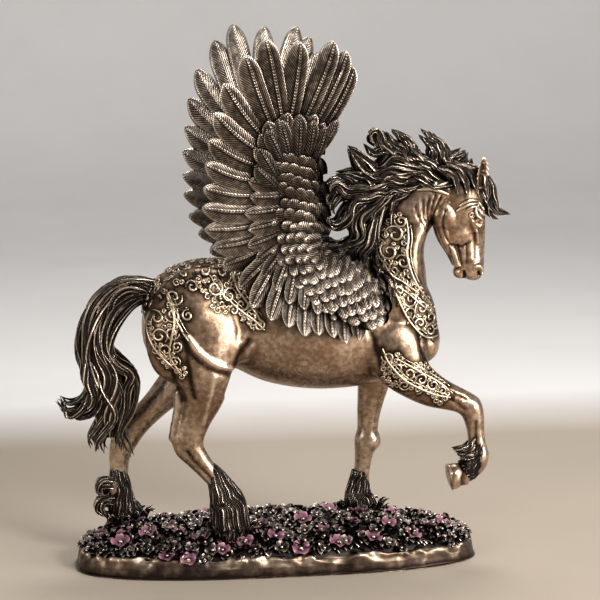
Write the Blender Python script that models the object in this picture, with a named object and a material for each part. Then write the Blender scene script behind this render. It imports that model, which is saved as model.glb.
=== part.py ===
"""Winged horse figurine: one casting of a striding horse, two raised wings and a rocky base of flowers.

The horse faces +X and its right side faces -Y. The origin is the middle of the base's underside.
Each form is a closed shape drawn from the sizes below; one remesh fuses them into the casting.
"""

import math
import random

import bmesh
import bpy
from mathutils import Vector
from mathutils.bvhtree import BVHTree

# Base
BASE_LENGTH = 0.203
BASE_DEPTH = 0.072
RIM_HEIGHT = 0.0100
BED_RISE = 0.0075
BASE_ROUNDNESS = 2.7
CHIP_DEPTH = 0.0012
BED_INSET = 0.0065
LEAVES = 210
LEAF_LENGTH = 0.0080
LEAF_THICKNESS = 0.0042
LEAF_WIDTH = 0.0050
FLOWERS = 34
FLOWER_DIAMETER = 0.0075
FLOWER_HEIGHT = 0.0030
HOOF_SINK = 0.0025

# Trunk
TRUNK_LENGTH = 0.1506
TRUNK_DEPTH = 0.0600
TRUNK_WIDTH = 0.0520
TRUNK_BACK_OFFSET = 0.0665
BUTTOCK_RISE = 0.1095
CHEST_RISE = 0.0995

# Legs, each with the depth of its thickest part and its distance from the middle of the body
HIND_GIRTH = 0.0520
FORE_GIRTH = 0.0320
HIP_SPREAD = 0.0170
SHOULDER_SPREAD = 0.0155
NEAR_HIND_STRIDE = 0.0232
FAR_HIND_STRIDE = 0.0305
FAR_FORE_STRIDE = 0.0086
RAISED_HOOF_REACH = 0.0338
RAISED_HOOF_RISE = 0.0245
HOOF_WIDTH = 0.0160
HOOF_HEIGHT = 0.0105
FETLOCK_GIRTH = 0.0090

# Neck and head
NECK_GIRTH = 0.0480
NECK_REACH = 0.0322
NECK_RISE = 0.0684
CROWN_RISE = 0.0090
HEAD_LENGTH = 0.0558
HEAD_TILT = 8.5
HEAD_DEPTH = 0.0245
EAR_LENGTH = 0.0125
MANE_LOCK_GIRTH = 0.0092
MANE_REACH = 0.0330
MANE_DEPTH = 0.0150
MANE_WIDTH = 0.0130

# Tail
TAIL_REACH = 0.0300
TAIL_DROP = 0.0824
TAIL_GIRTH = 0.0240
TAIL_LOCKS = 16
TAIL_LOCK_GIRTH = 0.0080

# Wings
WING_REACH = 0.1280
WING_SPREAD = 0.0195
WING_HUG = 0.0100
WING_FLARE = 0.0240
WING_ARM_THICKNESS = 0.0070
WING_ROOT_RISE = 0.01515
WING_ROOT_LENGTH = 0.0480
WING_ROOT_HEIGHT = 0.0400
FLIGHT_FEATHERS = 25
FEATHER_THICKNESS = 0.0024
FEATHER_WIDTH = 0.0116
SHEET_REACH = 0.70
SCALE_LENGTH = 0.0092
SCALE_WIDTH = 0.0074

# Carving on the skin
SCROLL_RADIUS = 0.0080
SCROLL_THICKNESS = 0.0030

# Fineness of the casting
GRAIN = 0.0008
FACETS = 12000
SEED = 11

RIGHT = -1
LEFT = 1
GOLDEN_PART = 0.6180339

BED_TOP = RIM_HEIGHT + BED_RISE
GROUND = BED_TOP - HOOF_SINK

# Stations of a limb: how far along it, how far it bows to its left, half its depth and half its width.
# The first two are parts of its length and the others are parts of its girth.
TRUNK_STATIONS = [
    (0.000, 0.000, 0.08, 0.08), (0.030, 0.005, 0.22, 0.20), (0.069, 0.013, 0.32, 0.29),
    (0.139, 0.015, 0.43, 0.40), (0.238, 0.013, 0.47, 0.46), (0.338, 0.013, 0.44, 0.45),
    (0.458, -0.019, 0.48, 0.48), (0.576, -0.028, 0.49, 0.50), (0.677, -0.014, 0.51, 0.46),
    (0.777, 0.007, 0.50, 0.42), (0.879, 0.011, 0.42, 0.35), (0.958, 0.004, 0.26, 0.25),
    (1.000, 0.000, 0.07, 0.08)]
NEAR_HIND_STATIONS = [
    (-0.160, 0.020, 0.10, 0.05), (-0.110, 0.015, 0.28, 0.12), (0.000, 0.000, 0.43, 0.19),
    (0.135, -0.016, 0.46, 0.23), (0.221, -0.012, 0.365, 0.22),
    (0.304, -0.017, 0.25, 0.18), (0.368, -0.041, 0.20, 0.145), (0.434, -0.083, 0.167, 0.115),
    (0.499, -0.125, 0.158, 0.108), (0.551, -0.142, 0.160, 0.108), (0.626, -0.113, 0.118, 0.096),
    (0.685, -0.084, 0.101, 0.086), (0.756, -0.049, 0.097, 0.084), (0.811, -0.023, 0.130, 0.100),
    (0.870, -0.014, 0.107, 0.100), (0.930, 0.000, 0.126, 0.120)]
FAR_HIND_STATIONS = [
    (-0.160, -0.020, 0.10, 0.05), (-0.110, -0.015, 0.28, 0.12), (0.000, 0.000, 0.42, 0.19),
    (0.084, 0.048, 0.42, 0.23), (0.209, 0.074, 0.29, 0.19),
    (0.304, 0.042, 0.19, 0.155), (0.412, -0.023, 0.144, 0.12), (0.525, -0.088, 0.135, 0.108),
    (0.631, -0.125, 0.138, 0.104), (0.710, -0.128, 0.110, 0.092), (0.788, -0.106, 0.100, 0.085),
    (0.845, -0.100, 0.127, 0.100), (0.902, -0.071, 0.107, 0.100), (0.950, -0.030, 0.126, 0.120)]
FAR_FORE_STATIONS = [
    (-0.120, 0.000, 0.12, 0.08), (-0.080, 0.000, 0.33, 0.18), (0.000, 0.000, 0.45, 0.26),
    (0.097, -0.004, 0.41, 0.28), (0.232, -0.012, 0.31, 0.25),
    (0.345, -0.022, 0.25, 0.21), (0.443, -0.028, 0.21, 0.18), (0.541, -0.027, 0.185, 0.16),
    (0.594, -0.033, 0.195, 0.175), (0.645, -0.036, 0.17, 0.156), (0.703, -0.036, 0.148, 0.138),
    (0.776, -0.040, 0.144, 0.138), (0.833, -0.043, 0.181, 0.156), (0.896, -0.029, 0.163, 0.156),
    (0.940, -0.014, 0.20, 0.19)]
RAISED_FORE_STATIONS = [
    (-0.150, 0.000, 0.12, 0.08), (-0.100, 0.000, 0.35, 0.18), (0.000, 0.000, 0.50, 0.25),
    (0.104, 0.028, 0.53, 0.28), (0.237, 0.034, 0.44, 0.28),
    (0.346, 0.072, 0.33, 0.25), (0.448, 0.135, 0.27, 0.22), (0.533, 0.215, 0.225, 0.19),
    (0.599, 0.282, 0.205, 0.175), (0.655, 0.321, 0.20, 0.175), (0.722, 0.303, 0.175, 0.156),
    (0.818, 0.268, 0.150, 0.138), (0.888, 0.236, 0.150, 0.138), (0.952, 0.208, 0.190, 0.156),
    (0.998, 0.147, 0.175, 0.160), (1.016, 0.083, 0.20, 0.19)]
NECK_STATIONS = [
    (0.000, 0.000, 0.50, 0.33), (0.146, 0.023, 0.42, 0.33), (0.339, 0.087, 0.36, 0.30),
    (0.512, 0.145, 0.30, 0.25), (0.672, 0.181, 0.28, 0.23), (0.820, 0.161, 0.26, 0.21),
    (0.927, 0.100, 0.24, 0.20), (1.000, 0.000, 0.21, 0.19)]
HEAD_STATIONS = [
    (0.000, 0.000, 0.24, 0.20), (0.105, 0.024, 0.43, 0.37), (0.216, 0.036, 0.49, 0.43),
    (0.353, 0.036, 0.50, 0.45), (0.507, 0.025, 0.46, 0.42), (0.638, 0.024, 0.41, 0.35),
    (0.766, 0.032, 0.36, 0.285), (0.862, 0.037, 0.335, 0.265), (0.928, 0.027, 0.30, 0.25),
    (0.976, 0.009, 0.20, 0.19), (1.000, 0.000, 0.08, 0.08)]
TAIL_STATIONS = [
    (0.000, 0.000, 0.17, 0.17), (-0.017, -0.110, 0.25, 0.21), (0.035, -0.202, 0.35, 0.29),
    (0.123, -0.258, 0.40, 0.33), (0.266, -0.270, 0.40, 0.35), (0.401, -0.219, 0.44, 0.38),
    (0.525, -0.135, 0.48, 0.40), (0.651, -0.059, 0.47, 0.40), (0.789, -0.020, 0.36, 0.32),
    (0.899, -0.020, 0.24, 0.22), (1.000, 0.000, 0.06, 0.06)]
# Curls at the tail's end as (back, down, aside) parts of the tail's reach and their girth in locks
TAIL_CURLS = [
    (-0.85, -0.16, 0.0, 1.5), (-0.70, -0.42, 0.15, 1.3), (-0.35, -0.62, -0.15, 1.3), (0.42, -0.75, 0.0, 1.2)]

# Ear as (along it, half depth, half width) in parts of its length
EAR_STATIONS = [
    (0.0, 0.18, 0.14), (0.25, 0.29, 0.18), (0.55, 0.26, 0.14), (0.8, 0.17, 0.10), (1.0, 0.05, 0.04)]

# Lines of a wing as (forward, up) parts of its reach, from the wing tip down to the shoulder
WING_FRONT_LINE = [
    (0.113, 0.738), (0.052, 0.610), (0.036, 0.512), (0.069, 0.419), (0.114, 0.279),
    (0.213, 0.171), (0.313, 0.052), (0.325, -0.018)]
WING_BACK_LINE = [
    (-0.062, 0.688), (-0.147, 0.583), (-0.129, 0.430), (-0.114, 0.237), (-0.027, 0.079),
    (0.062, 0.030), (0.158, -0.002), (0.273, -0.047)]
# Flight feathers: root, tip and width, with places in between taken from the smooth line through these
FLIGHT_LINE = [
    (0.055, 0.674, 0.173, 0.891, 0.66), (-0.029, 0.687, 0.095, 0.991, 0.95),
    (-0.092, 0.688, -0.165, 1.004, 1.05), (-0.148, 0.640, -0.314, 0.832, 1.05),
    (-0.138, 0.477, -0.378, 0.526, 1.05), (-0.123, 0.330, -0.376, 0.273, 1.0),
    (-0.105, 0.198, -0.245, 0.046, 1.15), (-0.027, 0.079, -0.062, -0.102, 1.0),
    (0.108, 0.014, 0.112, -0.129, 0.85), (0.252, -0.036, 0.259, -0.126, 0.62)]

# Hair of the mane as lines of (forward, up) in parts of its reach, measured from the poll
MANE_FLAMES = [
    [(-0.49, 0.45), (-0.61, 0.66), (-0.73, 0.78), (-0.88, 0.90)],
    [(-0.67, 0.38), (-0.82, 0.63), (-0.98, 0.72), (-1.04, 0.90)],
    [(-0.85, 0.48), (-1.04, 0.69), (-1.16, 0.87), (-1.22, 0.78)],
    [(-0.52, 0.35), (-0.82, 0.48), (-1.16, 0.29), (-1.43, 0.57), (-1.55, 0.66)],
    [(-0.64, 0.23), (-0.92, 0.26), (-1.22, 0.23), (-1.52, 0.29), (-1.73, 0.26)],
    [(-0.79, 0.08), (-1.10, 0.08), (-1.37, 0.05), (-1.58, 0.17), (-1.73, 0.23)],
    [(-0.98, 0.02), (-1.52, -0.01), (-1.73, 0.08), (-1.88, -0.01), (-1.88, -0.22)],
    [(-1.04, -0.10), (-1.46, -0.13), (-1.58, -0.31), (-1.73, -0.49), (-1.88, -0.40)],
    [(-0.07, 0.32), (-0.16, 0.57), (-0.25, 0.72), (-0.43, 0.90)],
    [(0.02, 0.23), (-0.04, 0.42), (0.08, 0.51), (0.21, 0.60)],
    [(0.21, 0.08), (0.15, 0.23), (0.18, 0.42), (0.27, 0.57)],
    [(-0.85, -0.01), (-1.19, -0.16), (-1.37, -0.52), (-1.31, -0.80), (-1.34, -1.04), (-1.13, -1.25),
     (-1.01, -1.74)],
    [(-1.04, -0.13), (-1.40, -0.40), (-1.46, -0.74), (-1.64, -0.86), (-1.82, -0.71)],
    [(-1.16, -0.46), (-1.31, -0.86), (-1.49, -1.07), (-1.70, -0.98)]]
FORELOCKS = [
    [(0.12, 0.29), (0.45, 0.29), (0.63, -0.01), (0.63, -0.25), (0.75, -0.34), (0.90, -0.37)],
    [(0.15, 0.23), (0.39, 0.17), (0.48, -0.07), (0.57, -0.28), (0.72, -0.43)]]
# Middle of the mane's mass along the crest, from the brow down to the withers
MANE_MASS = [
    (0.21, 0.11), (-0.07, 0.29), (-0.43, 0.35), (-0.76, 0.20), (-1.01, -0.10),
    (-1.14, -0.52), (-1.19, -0.89), (-1.16, -1.28), (-1.05, -1.68)]

# Scrolls on the skin as (along the trunk, up from its axis, size, turn), parts of its length and depth
TRUNK_SCROLLS = [
    (0.070, 0.16, 1.00, 1), (0.150, 0.36, 0.95, -1), (0.165, 0.02, 1.05, -1), (0.255, 0.22, 1.00, 1),
    (0.330, 0.40, 0.80, -1), (0.080, -0.20, 0.80, 1), (0.200, -0.28, 0.80, -1), (0.905, 0.06, 1.00, 1),
    (0.860, -0.30, 0.95, -1), (0.930, -0.36, 0.70, 1)]
NECK_SCROLLS = [(0.22, 0.04, 1.0, 1), (0.45, 0.12, 1.0, -1), (0.66, 0.19, 0.8, 1)]


def blend(a, b, part):
    """Place or value a given part of the way from a to b."""
    return a + (b - a) * part


def smooth_line(points, steps):
    """Even samples of the smooth curve that passes through all the points."""
    rows = [tuple(p) for p in points]
    rows = [rows[0]] + rows + [rows[-1]]
    spans = len(points) - 1
    line = []
    for step in range(steps + 1):
        place = spans * step / steps
        span = min(int(place), spans - 1)
        u = place - span
        weights = ((-u + 2 * u * u - u ** 3) / 2, (2 - 5 * u * u + 3 * u ** 3) / 2,
                   (u + 4 * u * u - 3 * u ** 3) / 2, (u ** 3 - u * u) / 2)
        near = rows[span:span + 4]
        line.append(tuple(sum(w * row[k] for w, row in zip(weights, near)) for k in range(len(rows[0]))))
    return line


def shell(bm, rings):
    """Closed shape through rings of points that all have the same count."""
    loops = [[bm.verts.new(point) for point in ring] for ring in rings]
    for lower, upper in zip(loops, loops[1:]):
        for k in range(len(lower)):
            nxt = (k + 1) % len(lower)
            bm.faces.new((lower[k], lower[nxt], upper[nxt], upper[k]))
    bm.faces.new(list(reversed(loops[0])))
    bm.faces.new(loops[-1])


def tube(bm, centres, depths, widths, sides=12, roll=0.0):
    """Closed shape along a line, with flattened rings: depth lies in the XZ plane and width across it."""
    rings = []
    for k, centre in enumerate(centres):
        ahead = centres[min(k + 1, len(centres) - 1)]
        behind = centres[max(k - 1, 0)]
        along = (ahead - behind).normalized()
        across = Vector((0, 1, 0)).cross(along).normalized()
        side = along.cross(across)
        depth_way = across * math.cos(roll) + side * math.sin(roll)
        width_way = side * math.cos(roll) - across * math.sin(roll)
        ring = []
        for turn in range(sides):
            angle = math.tau * turn / sides
            reach = depth_way * (depths[k] * math.cos(angle)) + width_way * (widths[k] * math.sin(angle))
            ring.append(centre + reach)
        rings.append(ring)
    shell(bm, rings)


def limb_line(start, end, stations, girth, steps):
    """Centres, half depths and half widths of a limb that runs between two places."""
    way = end - start
    bow_way = Vector((-way.z, 0, way.x))
    rows = smooth_line(stations, steps)
    centres = [start + way * row[0] + bow_way * row[1] for row in rows]
    return centres, [row[2] * girth for row in rows], [row[3] * girth for row in rows]


def limb(bm, start, end, stations, girth, steps, sides=16):
    """A tapering limb; returns the centres of its rings."""
    centres, depths, widths = limb_line(start, end, stations, girth, steps)
    tube(bm, centres, depths, widths, sides)
    return centres


def ball(bm, centre, radii, sides=14):
    """An egg shape with three half sizes."""
    rings = []
    layers = sides // 2
    for layer in range(layers + 1):
        slope = math.pi * (0.04 + 0.92 * layer / layers) - math.pi / 2
        ring = []
        for turn in range(sides):
            angle = math.tau * turn / sides
            reach = math.cos(slope)
            way = Vector((math.cos(angle) * reach, math.sin(angle) * reach, math.sin(slope)))
            ring.append(centre + way * Vector(radii))
        rings.append(ring)
    shell(bm, rings)


def lock(bm, root, tip, bend, girth, steps=9, sides=6):
    """A wavy lock of hair that swells past its root and ends in a point."""
    way = tip - root
    bow_way = Vector((0, 1, 0)).cross(way).normalized() * bend
    centres = []
    sizes = []
    for step in range(steps + 1):
        part = step / steps
        centres.append(root + way * part + bow_way * math.sin(math.tau * part))
        sizes.append(girth * (0.12 + 0.5 * math.sin(math.pi * (0.12 + 0.88 * part)) ** 0.8))
    tube(bm, centres, sizes, [0.8 * size for size in sizes], sides)


def trunk_ends():
    """Rear and front end of the trunk's axis."""
    rear = Vector((-TRUNK_BACK_OFFSET, 0, BED_TOP + BUTTOCK_RISE))
    run = math.sqrt(TRUNK_LENGTH ** 2 - (BUTTOCK_RISE - CHEST_RISE) ** 2)
    front = Vector((rear.x + run, 0, BED_TOP + CHEST_RISE))
    return rear, front


def on_trunk(along, up, side=0.0):
    """Place at a part of the trunk's length, raised by a part of its depth and set off to one side."""
    rear, front = trunk_ends()
    return blend(rear, front, along) + Vector((0, side, up * TRUNK_DEPTH))


def hip(side):
    return on_trunk(0.155, 0.0, side * HIP_SPREAD)


def shoulder(side):
    return on_trunk(0.800, -0.05, side * SHOULDER_SPREAD)


def poll():
    """Top of the neck, where the head hangs."""
    return on_trunk(0.815, 0.0) + Vector((NECK_REACH, 0, NECK_RISE))


def crown():
    """Top of the head, between the ears."""
    return poll() + Vector((0, 0, CROWN_RISE))


def muzzle():
    tilt = math.radians(HEAD_TILT)
    return crown() + Vector((math.sin(tilt), 0, -math.cos(tilt))) * HEAD_LENGTH


def hoof(bm, ankle, toe, forward):
    """A hoof that widens from the ankle to its flat sole."""
    way = toe - ankle
    half = HOOF_WIDTH / 2
    parts = [(0.0, 0.66), (0.12, 0.80), (0.2, 0.78), (0.95, 1.0), (1.0, 0.98)]
    centres = [ankle + way * part + forward * (half * 0.25 * part) for part, _ in parts]
    tube(bm, centres, [half * 1.1 * size for _, size in parts], [half * size for _, size in parts], 16)


def fetlock_hair(bm, place, back, girth, count=4):
    """Short locks that fall from the back of the fetlock."""
    for k in range(count):
        spread = (k - (count - 1) / 2) / count
        root = place + Vector((0, spread * girth * 1.2, girth * 0.2))
        fall = back * (1.1 - 0.5 * abs(spread)) + Vector((0, spread * 1.8, -1.1))
        tip = place + fall * girth
        lock(bm, root, tip, girth * 0.1, girth * 0.55, 6)


def standing_leg(bm, top, stride, stations, girth):
    """A leg from its joint at the trunk down to a hoof on the ground."""
    foot = Vector((top.x + stride, top.y, GROUND))
    centres = limb(bm, top, foot, stations, girth, 34)
    crown = Vector((blend(centres[-1].x, foot.x, 0.3), foot.y, GROUND + HOOF_HEIGHT))
    hoof(bm, crown, foot, Vector((1, 0, 0)))
    fetlock_hair(bm, centres[-5], Vector((-1, 0, 0)), FETLOCK_GIRTH)


def raised_leg(bm, top, girth):
    """The lifted near foreleg, folded at the knee with its hoof turned back."""
    sole = Vector((top.x + RAISED_HOOF_REACH, top.y, GROUND + RAISED_HOOF_RISE))
    centres = limb(bm, top, sole, RAISED_FORE_STATIONS, girth, 38)
    crown = sole + (centres[-3] - sole).normalized() * HOOF_HEIGHT
    hoof(bm, crown, sole, Vector((0, 0, -1)))
    fetlock_hair(bm, centres[-8], Vector((-1, 0, -0.35)), FETLOCK_GIRTH)


def head(bm):
    """Head with jowl, brow, lips, nostrils and ears."""
    start = crown()
    end = muzzle()
    way = end - start
    nose_way = Vector((-way.z, 0, way.x)).normalized() * HEAD_DEPTH
    side_way = Vector((0, HEAD_DEPTH, 0))
    limb(bm, start, end, HEAD_STATIONS, HEAD_DEPTH, 26)
    for side in (RIGHT, LEFT):
        cheek = start + way * 0.44 - nose_way * 0.16 + side_way * (side * 0.30)
        ball(bm, cheek, (HEAD_DEPTH * 0.32, HEAD_DEPTH * 0.18, HEAD_DEPTH * 0.35))
        eye = start + way * 0.32 + nose_way * 0.20 + side_way * (side * 0.40)
        ball(bm, eye, (HEAD_DEPTH * 0.12, HEAD_DEPTH * 0.065, HEAD_DEPTH * 0.09), 10)
        nostril = start + way * 0.90 + nose_way * 0.16 + side_way * (side * 0.22)
        ball(bm, nostril, (HEAD_DEPTH * 0.11, HEAD_DEPTH * 0.065, HEAD_DEPTH * 0.14), 10)
        ear(bm, start + way * 0.06 + nose_way * 0.16 + side_way * (side * 0.22), side)


def ear(bm, root, side):
    """An upright pointed ear."""
    tip = root + Vector((0.18, side * 0.25, 1.0)).normalized() * EAR_LENGTH
    places = [blend(root, tip, along) for along, _, _ in EAR_STATIONS]
    depths = [EAR_LENGTH * depth for _, depth, _ in EAR_STATIONS]
    widths = [EAR_LENGTH * width for _, _, width in EAR_STATIONS]
    tube(bm, places, depths, widths, 8)


def hair_line(points, aside, spans=4):
    """Smooth line of (forward, up) points of the mane, set off to one side of the middle plane."""
    line = smooth_line(points, spans * (len(points) - 1))
    return [poll() + Vector((forward * MANE_REACH, aside, up * MANE_REACH)) for forward, up in line]


def flame(bm, path, girth, sides=8):
    """A lock along a line: it swells past its root and ends in a point."""
    sizes = []
    for k in range(len(path)):
        swell = math.sin(math.pi * (0.22 + 0.78 * k / (len(path) - 1))) ** 0.8
        sizes.append(girth * (0.06 + 0.44 * swell))
    tube(bm, path, sizes, [0.75 * size for size in sizes], sides)


def mane(bm):
    """A mass of hair along the crest with flame-like locks on both sides, and a forelock."""
    mass = hair_line(MANE_MASS, 0.0)
    swell = [0.5 * math.sin(math.pi * (0.14 + 0.72 * k / (len(mass) - 1))) ** 0.5 for k in range(len(mass))]
    tube(bm, mass, [MANE_DEPTH * size for size in swell], [MANE_WIDTH * size for size in swell], 10)
    for k, line in enumerate(MANE_FLAMES):
        for side in (RIGHT, LEFT):
            flame(bm, hair_line(line, side * MANE_WIDTH * (0.26 + 0.10 * (k % 2))), MANE_LOCK_GIRTH)
    for line in FORELOCKS:
        for part in (-0.26, 0.0, 0.26):
            flame(bm, hair_line(line, part * MANE_WIDTH), MANE_LOCK_GIRTH * 0.6)


def tail(bm):
    """Tail that arches from its dock, hangs beside the far thigh and curls out at its end."""
    dock = on_trunk(0.05, 0.13)
    end = dock + Vector((-TAIL_REACH, 0, -TAIL_DROP))
    centres, depths, widths = limb_line(dock, end, TAIL_STATIONS, TAIL_GIRTH, 26)
    tube(bm, centres, [0.8 * d for d in depths], [0.8 * w for w in widths], 12)
    random.seed(SEED + 1)
    for k in range(TAIL_LOCKS):
        first = 2 + (k * 3) % 15
        last = first + 8
        angle = math.tau * k * 0.37
        path = []
        for step in range(first, last + 1):
            part = (step - first) / (last - first)
            turn = angle + 1.3 * part
            off = Vector((math.cos(turn) * depths[step], math.sin(turn) * widths[step], 0))
            path.append(centres[step] + off * (0.80 + 0.25 * part))
        flame(bm, path, TAIL_LOCK_GIRTH, 6)
    curl_root = centres[17]
    for back, down, aside, size in TAIL_CURLS:
        tip = curl_root + Vector((back, aside, down)) * TAIL_REACH
        lock(bm, curl_root, tip, -0.004, TAIL_LOCK_GIRTH * size, 12, 8)


def wing_root(side):
    """Where a wing's arm meets the shoulder; the wing's lines are measured from here."""
    return on_trunk(0.508, 0.0, side * WING_SPREAD) + Vector((0, 0, WING_ROOT_RISE))


def on_wing(side, forward, up, lift=0.0):
    """Place on a wing in parts of its reach, lifted off its face by a distance."""
    low = min(1.0, max(0.0, (0.16 - up) / 0.26))
    hug = WING_HUG * low * low * (3 - 2 * low)
    flare = WING_FLARE * max(0.0, up) ** 1.1
    return wing_root(side) + Vector((forward * WING_REACH, side * (flare + hug + lift), up * WING_REACH))


def feather(bm, root, tip, width, thickness, roll, sides=6):
    """A flat feather with a narrow root and a round tip."""
    profile = [(0.0, 0.45), (0.2, 0.70), (0.45, 0.95), (0.68, 1.0), (0.87, 0.87), (0.97, 0.57), (1.0, 0.25)]
    centres = [blend(root, tip, part) for part, _ in profile]
    depths = [width * 0.5 * size for _, size in profile]
    widths = [thickness * 0.5 * (0.55 + 0.45 * size) for _, size in profile]
    tube(bm, centres, depths, widths, sides, roll)


def wing_arm(bm, side):
    """Thick front part of the wing that carries the feathers, and its fleshy root on the shoulder."""
    front = smooth_line(WING_FRONT_LINE, 22)
    back = smooth_line(WING_BACK_LINE, 22)
    rings = []
    for k, (lead, trail) in enumerate(zip(front, back)):
        a = on_wing(side, *lead)
        b = on_wing(side, *trail)
        middle = (a + b) / 2
        half = (a - b) / 2
        thick = WING_ARM_THICKNESS * (0.30 + 0.30 * k / 22)
        ring = []
        for turn in range(12):
            angle = math.tau * turn / 12
            ring.append(middle + half * math.cos(angle) + Vector((0, side * thick * math.sin(angle), 0)))
        rings.append(ring)
    shell(bm, rings)
    base = on_wing(side, 0.11, 0.06)
    ball(bm, base - Vector((0, side * WING_HUG, 0)), (WING_ROOT_LENGTH / 2, WING_HUG, WING_ROOT_HEIGHT / 2))


def wing_sheet(bm, side):
    """Thin sheet behind the flight feathers that joins them near their roots."""
    rings = []
    for rx, rz, tx, tz, _ in smooth_line(FLIGHT_LINE, FLIGHT_FEATHERS - 1):
        inner = on_wing(side, rx, rz, FEATHER_THICKNESS * 0.2)
        outer = on_wing(side, blend(rx, tx, SHEET_REACH), blend(rz, tz, SHEET_REACH), FEATHER_THICKNESS * 0.2)
        middle = (inner + outer) / 2
        half = (outer - inner) / 2
        ring = []
        for turn in range(10):
            angle = math.tau * turn / 10
            bulge = Vector((0, side * FEATHER_THICKNESS * 0.5 * math.sin(angle), 0))
            ring.append(middle + half * math.cos(angle) + bulge)
        rings.append(ring)
    shell(bm, rings)


def wing_feathers(bm, side):
    """Flight feathers, a row of long coverts over their roots, and small scale feathers on the arm."""
    flights = smooth_line(FLIGHT_LINE, FLIGHT_FEATHERS - 1)
    for k, (rx, rz, tx, tz, size) in enumerate(flights):
        lift = 0.0008 * (k % 2)
        root = on_wing(side, rx, rz, lift)
        tip = on_wing(side, tx, tz, lift)
        root = blend(root, tip, -0.22)
        feather(bm, root, tip, FEATHER_WIDTH * size, FEATHER_THICKNESS, 0.16 * side)
    for k, (rx, rz, tx, tz, size) in enumerate(smooth_line(FLIGHT_LINE, FLIGHT_FEATHERS - 4)):
        root = on_wing(side, rx, rz, 0.0022)
        tip = on_wing(side, blend(rx, tx, 0.46), blend(rz, tz, 0.46), 0.0020)
        root = blend(root, tip, -0.35)
        feather(bm, root, tip, FEATHER_WIDTH * 0.85 * size, FEATHER_THICKNESS, 0.2 * side)
    front = smooth_line(WING_FRONT_LINE, 13)
    back = smooth_line(WING_BACK_LINE, 13)
    for row in range(1, 13):
        lead = front[row]
        trail = back[row]
        across = max(3, round(WING_REACH * math.dist(lead, trail) / SCALE_WIDTH))
        for n in range(across):
            part = (n + 0.5 + 0.25 * (row % 2)) / (across + 0.25)
            x = blend(trail[0], lead[0], part)
            z = blend(trail[1], lead[1], part)
            bulge = FEATHER_THICKNESS * 0.5 + WING_ARM_THICKNESS * (0.18 + 0.18 * row / 13)
            middle = on_wing(side, x, z, bulge)
            flight = flights[min(len(flights) - 1, round(row / 13 * (len(flights) - 1)))]
            way = Vector((flight[2] - flight[0], 0, flight[3] - flight[1])).normalized() * (SCALE_LENGTH / 2)
            feather(bm, middle - way, middle + way, SCALE_WIDTH, FEATHER_THICKNESS, 0.12 * side)


def scroll_path(centre_x, centre_z, size, turn):
    """A spiral in the XZ plane that opens into a short tail."""
    path = []
    for step in range(15):
        part = step / 14
        angle = turn * (0.6 + 1.5 * math.pi * part * 1.25)
        radius = SCROLL_RADIUS * size * (0.25 + 0.75 * part)
        path.append((centre_x + radius * math.cos(angle), centre_z + radius * math.sin(angle)))
    return path


def carving(bm, skin):
    """Raised scrolls laid on the skin of the croup, the chest and the neck, on both sides."""
    rear, front = trunk_ends()
    throat, top = on_trunk(0.815, 0.0), poll()
    places = []
    for along, up, size, turn in TRUNK_SCROLLS:
        spot = blend(rear, front, along) + Vector((0, 0, up * TRUNK_DEPTH))
        places.append((spot, size, turn))
    for along, bow, size, turn in NECK_SCROLLS:
        way = top - throat
        spot = throat + way * along + Vector((-way.z, 0, way.x)) * bow
        places.append((spot, size, turn))
    for spot, size, turn in places:
        for side in (RIGHT, LEFT):
            path = []
            for x, z in scroll_path(spot.x, spot.z, size, turn):
                hit, normal, _, _ = skin.ray_cast(Vector((x, side * BASE_LENGTH, z)), Vector((0, -side, 0)))
                if hit is not None:
                    path.append(hit + normal * (SCROLL_THICKNESS * 0.12))
            if len(path) > 4:
                count = len(path) - 1
                swell = [0.34 + 0.26 * math.sin(math.pi * k / count) for k in range(count + 1)]
                sizes = [SCROLL_THICKNESS * size for size in swell]
                tube(bm, path, sizes, sizes, 6)


def rim_point(angle, grow):
    """Point of the base's rounded outline, moved out by a distance."""
    c, s = math.cos(angle), math.sin(angle)
    reach = (abs(c) ** BASE_ROUNDNESS + abs(s) ** BASE_ROUNDNESS) ** (-1 / BASE_ROUNDNESS)
    return (BASE_LENGTH / 2 + grow) * reach * c, (BASE_DEPTH / 2 + grow) * reach * s


def plinth(bm):
    """Rocky slab with a chipped rim; it runs below the underside, which is cut flat afterwards."""
    random.seed(SEED + 2)
    sides = 84
    layers = [(-0.4, -1.0), (0.12, -0.7), (0.35, -1.3), (0.7, -0.8), (0.95, -2.5), (1.0, -5.0)]
    chips = [random.uniform(-CHIP_DEPTH, CHIP_DEPTH * 0.7) for _ in range(sides)]
    rings = []
    for up, out in layers:
        ring = []
        for k in range(sides):
            rough = random.uniform(-0.5, 0.25) * CHIP_DEPTH
            x, y = rim_point(math.tau * k / sides, out * CHIP_DEPTH + chips[k] + rough)
            lift = random.uniform(-0.8, 0.8) * CHIP_DEPTH if up > 0.6 else 0.0
            ring.append(Vector((x, y, up * RIM_HEIGHT + lift)))
        rings.append(ring)
    shell(bm, rings)


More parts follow.
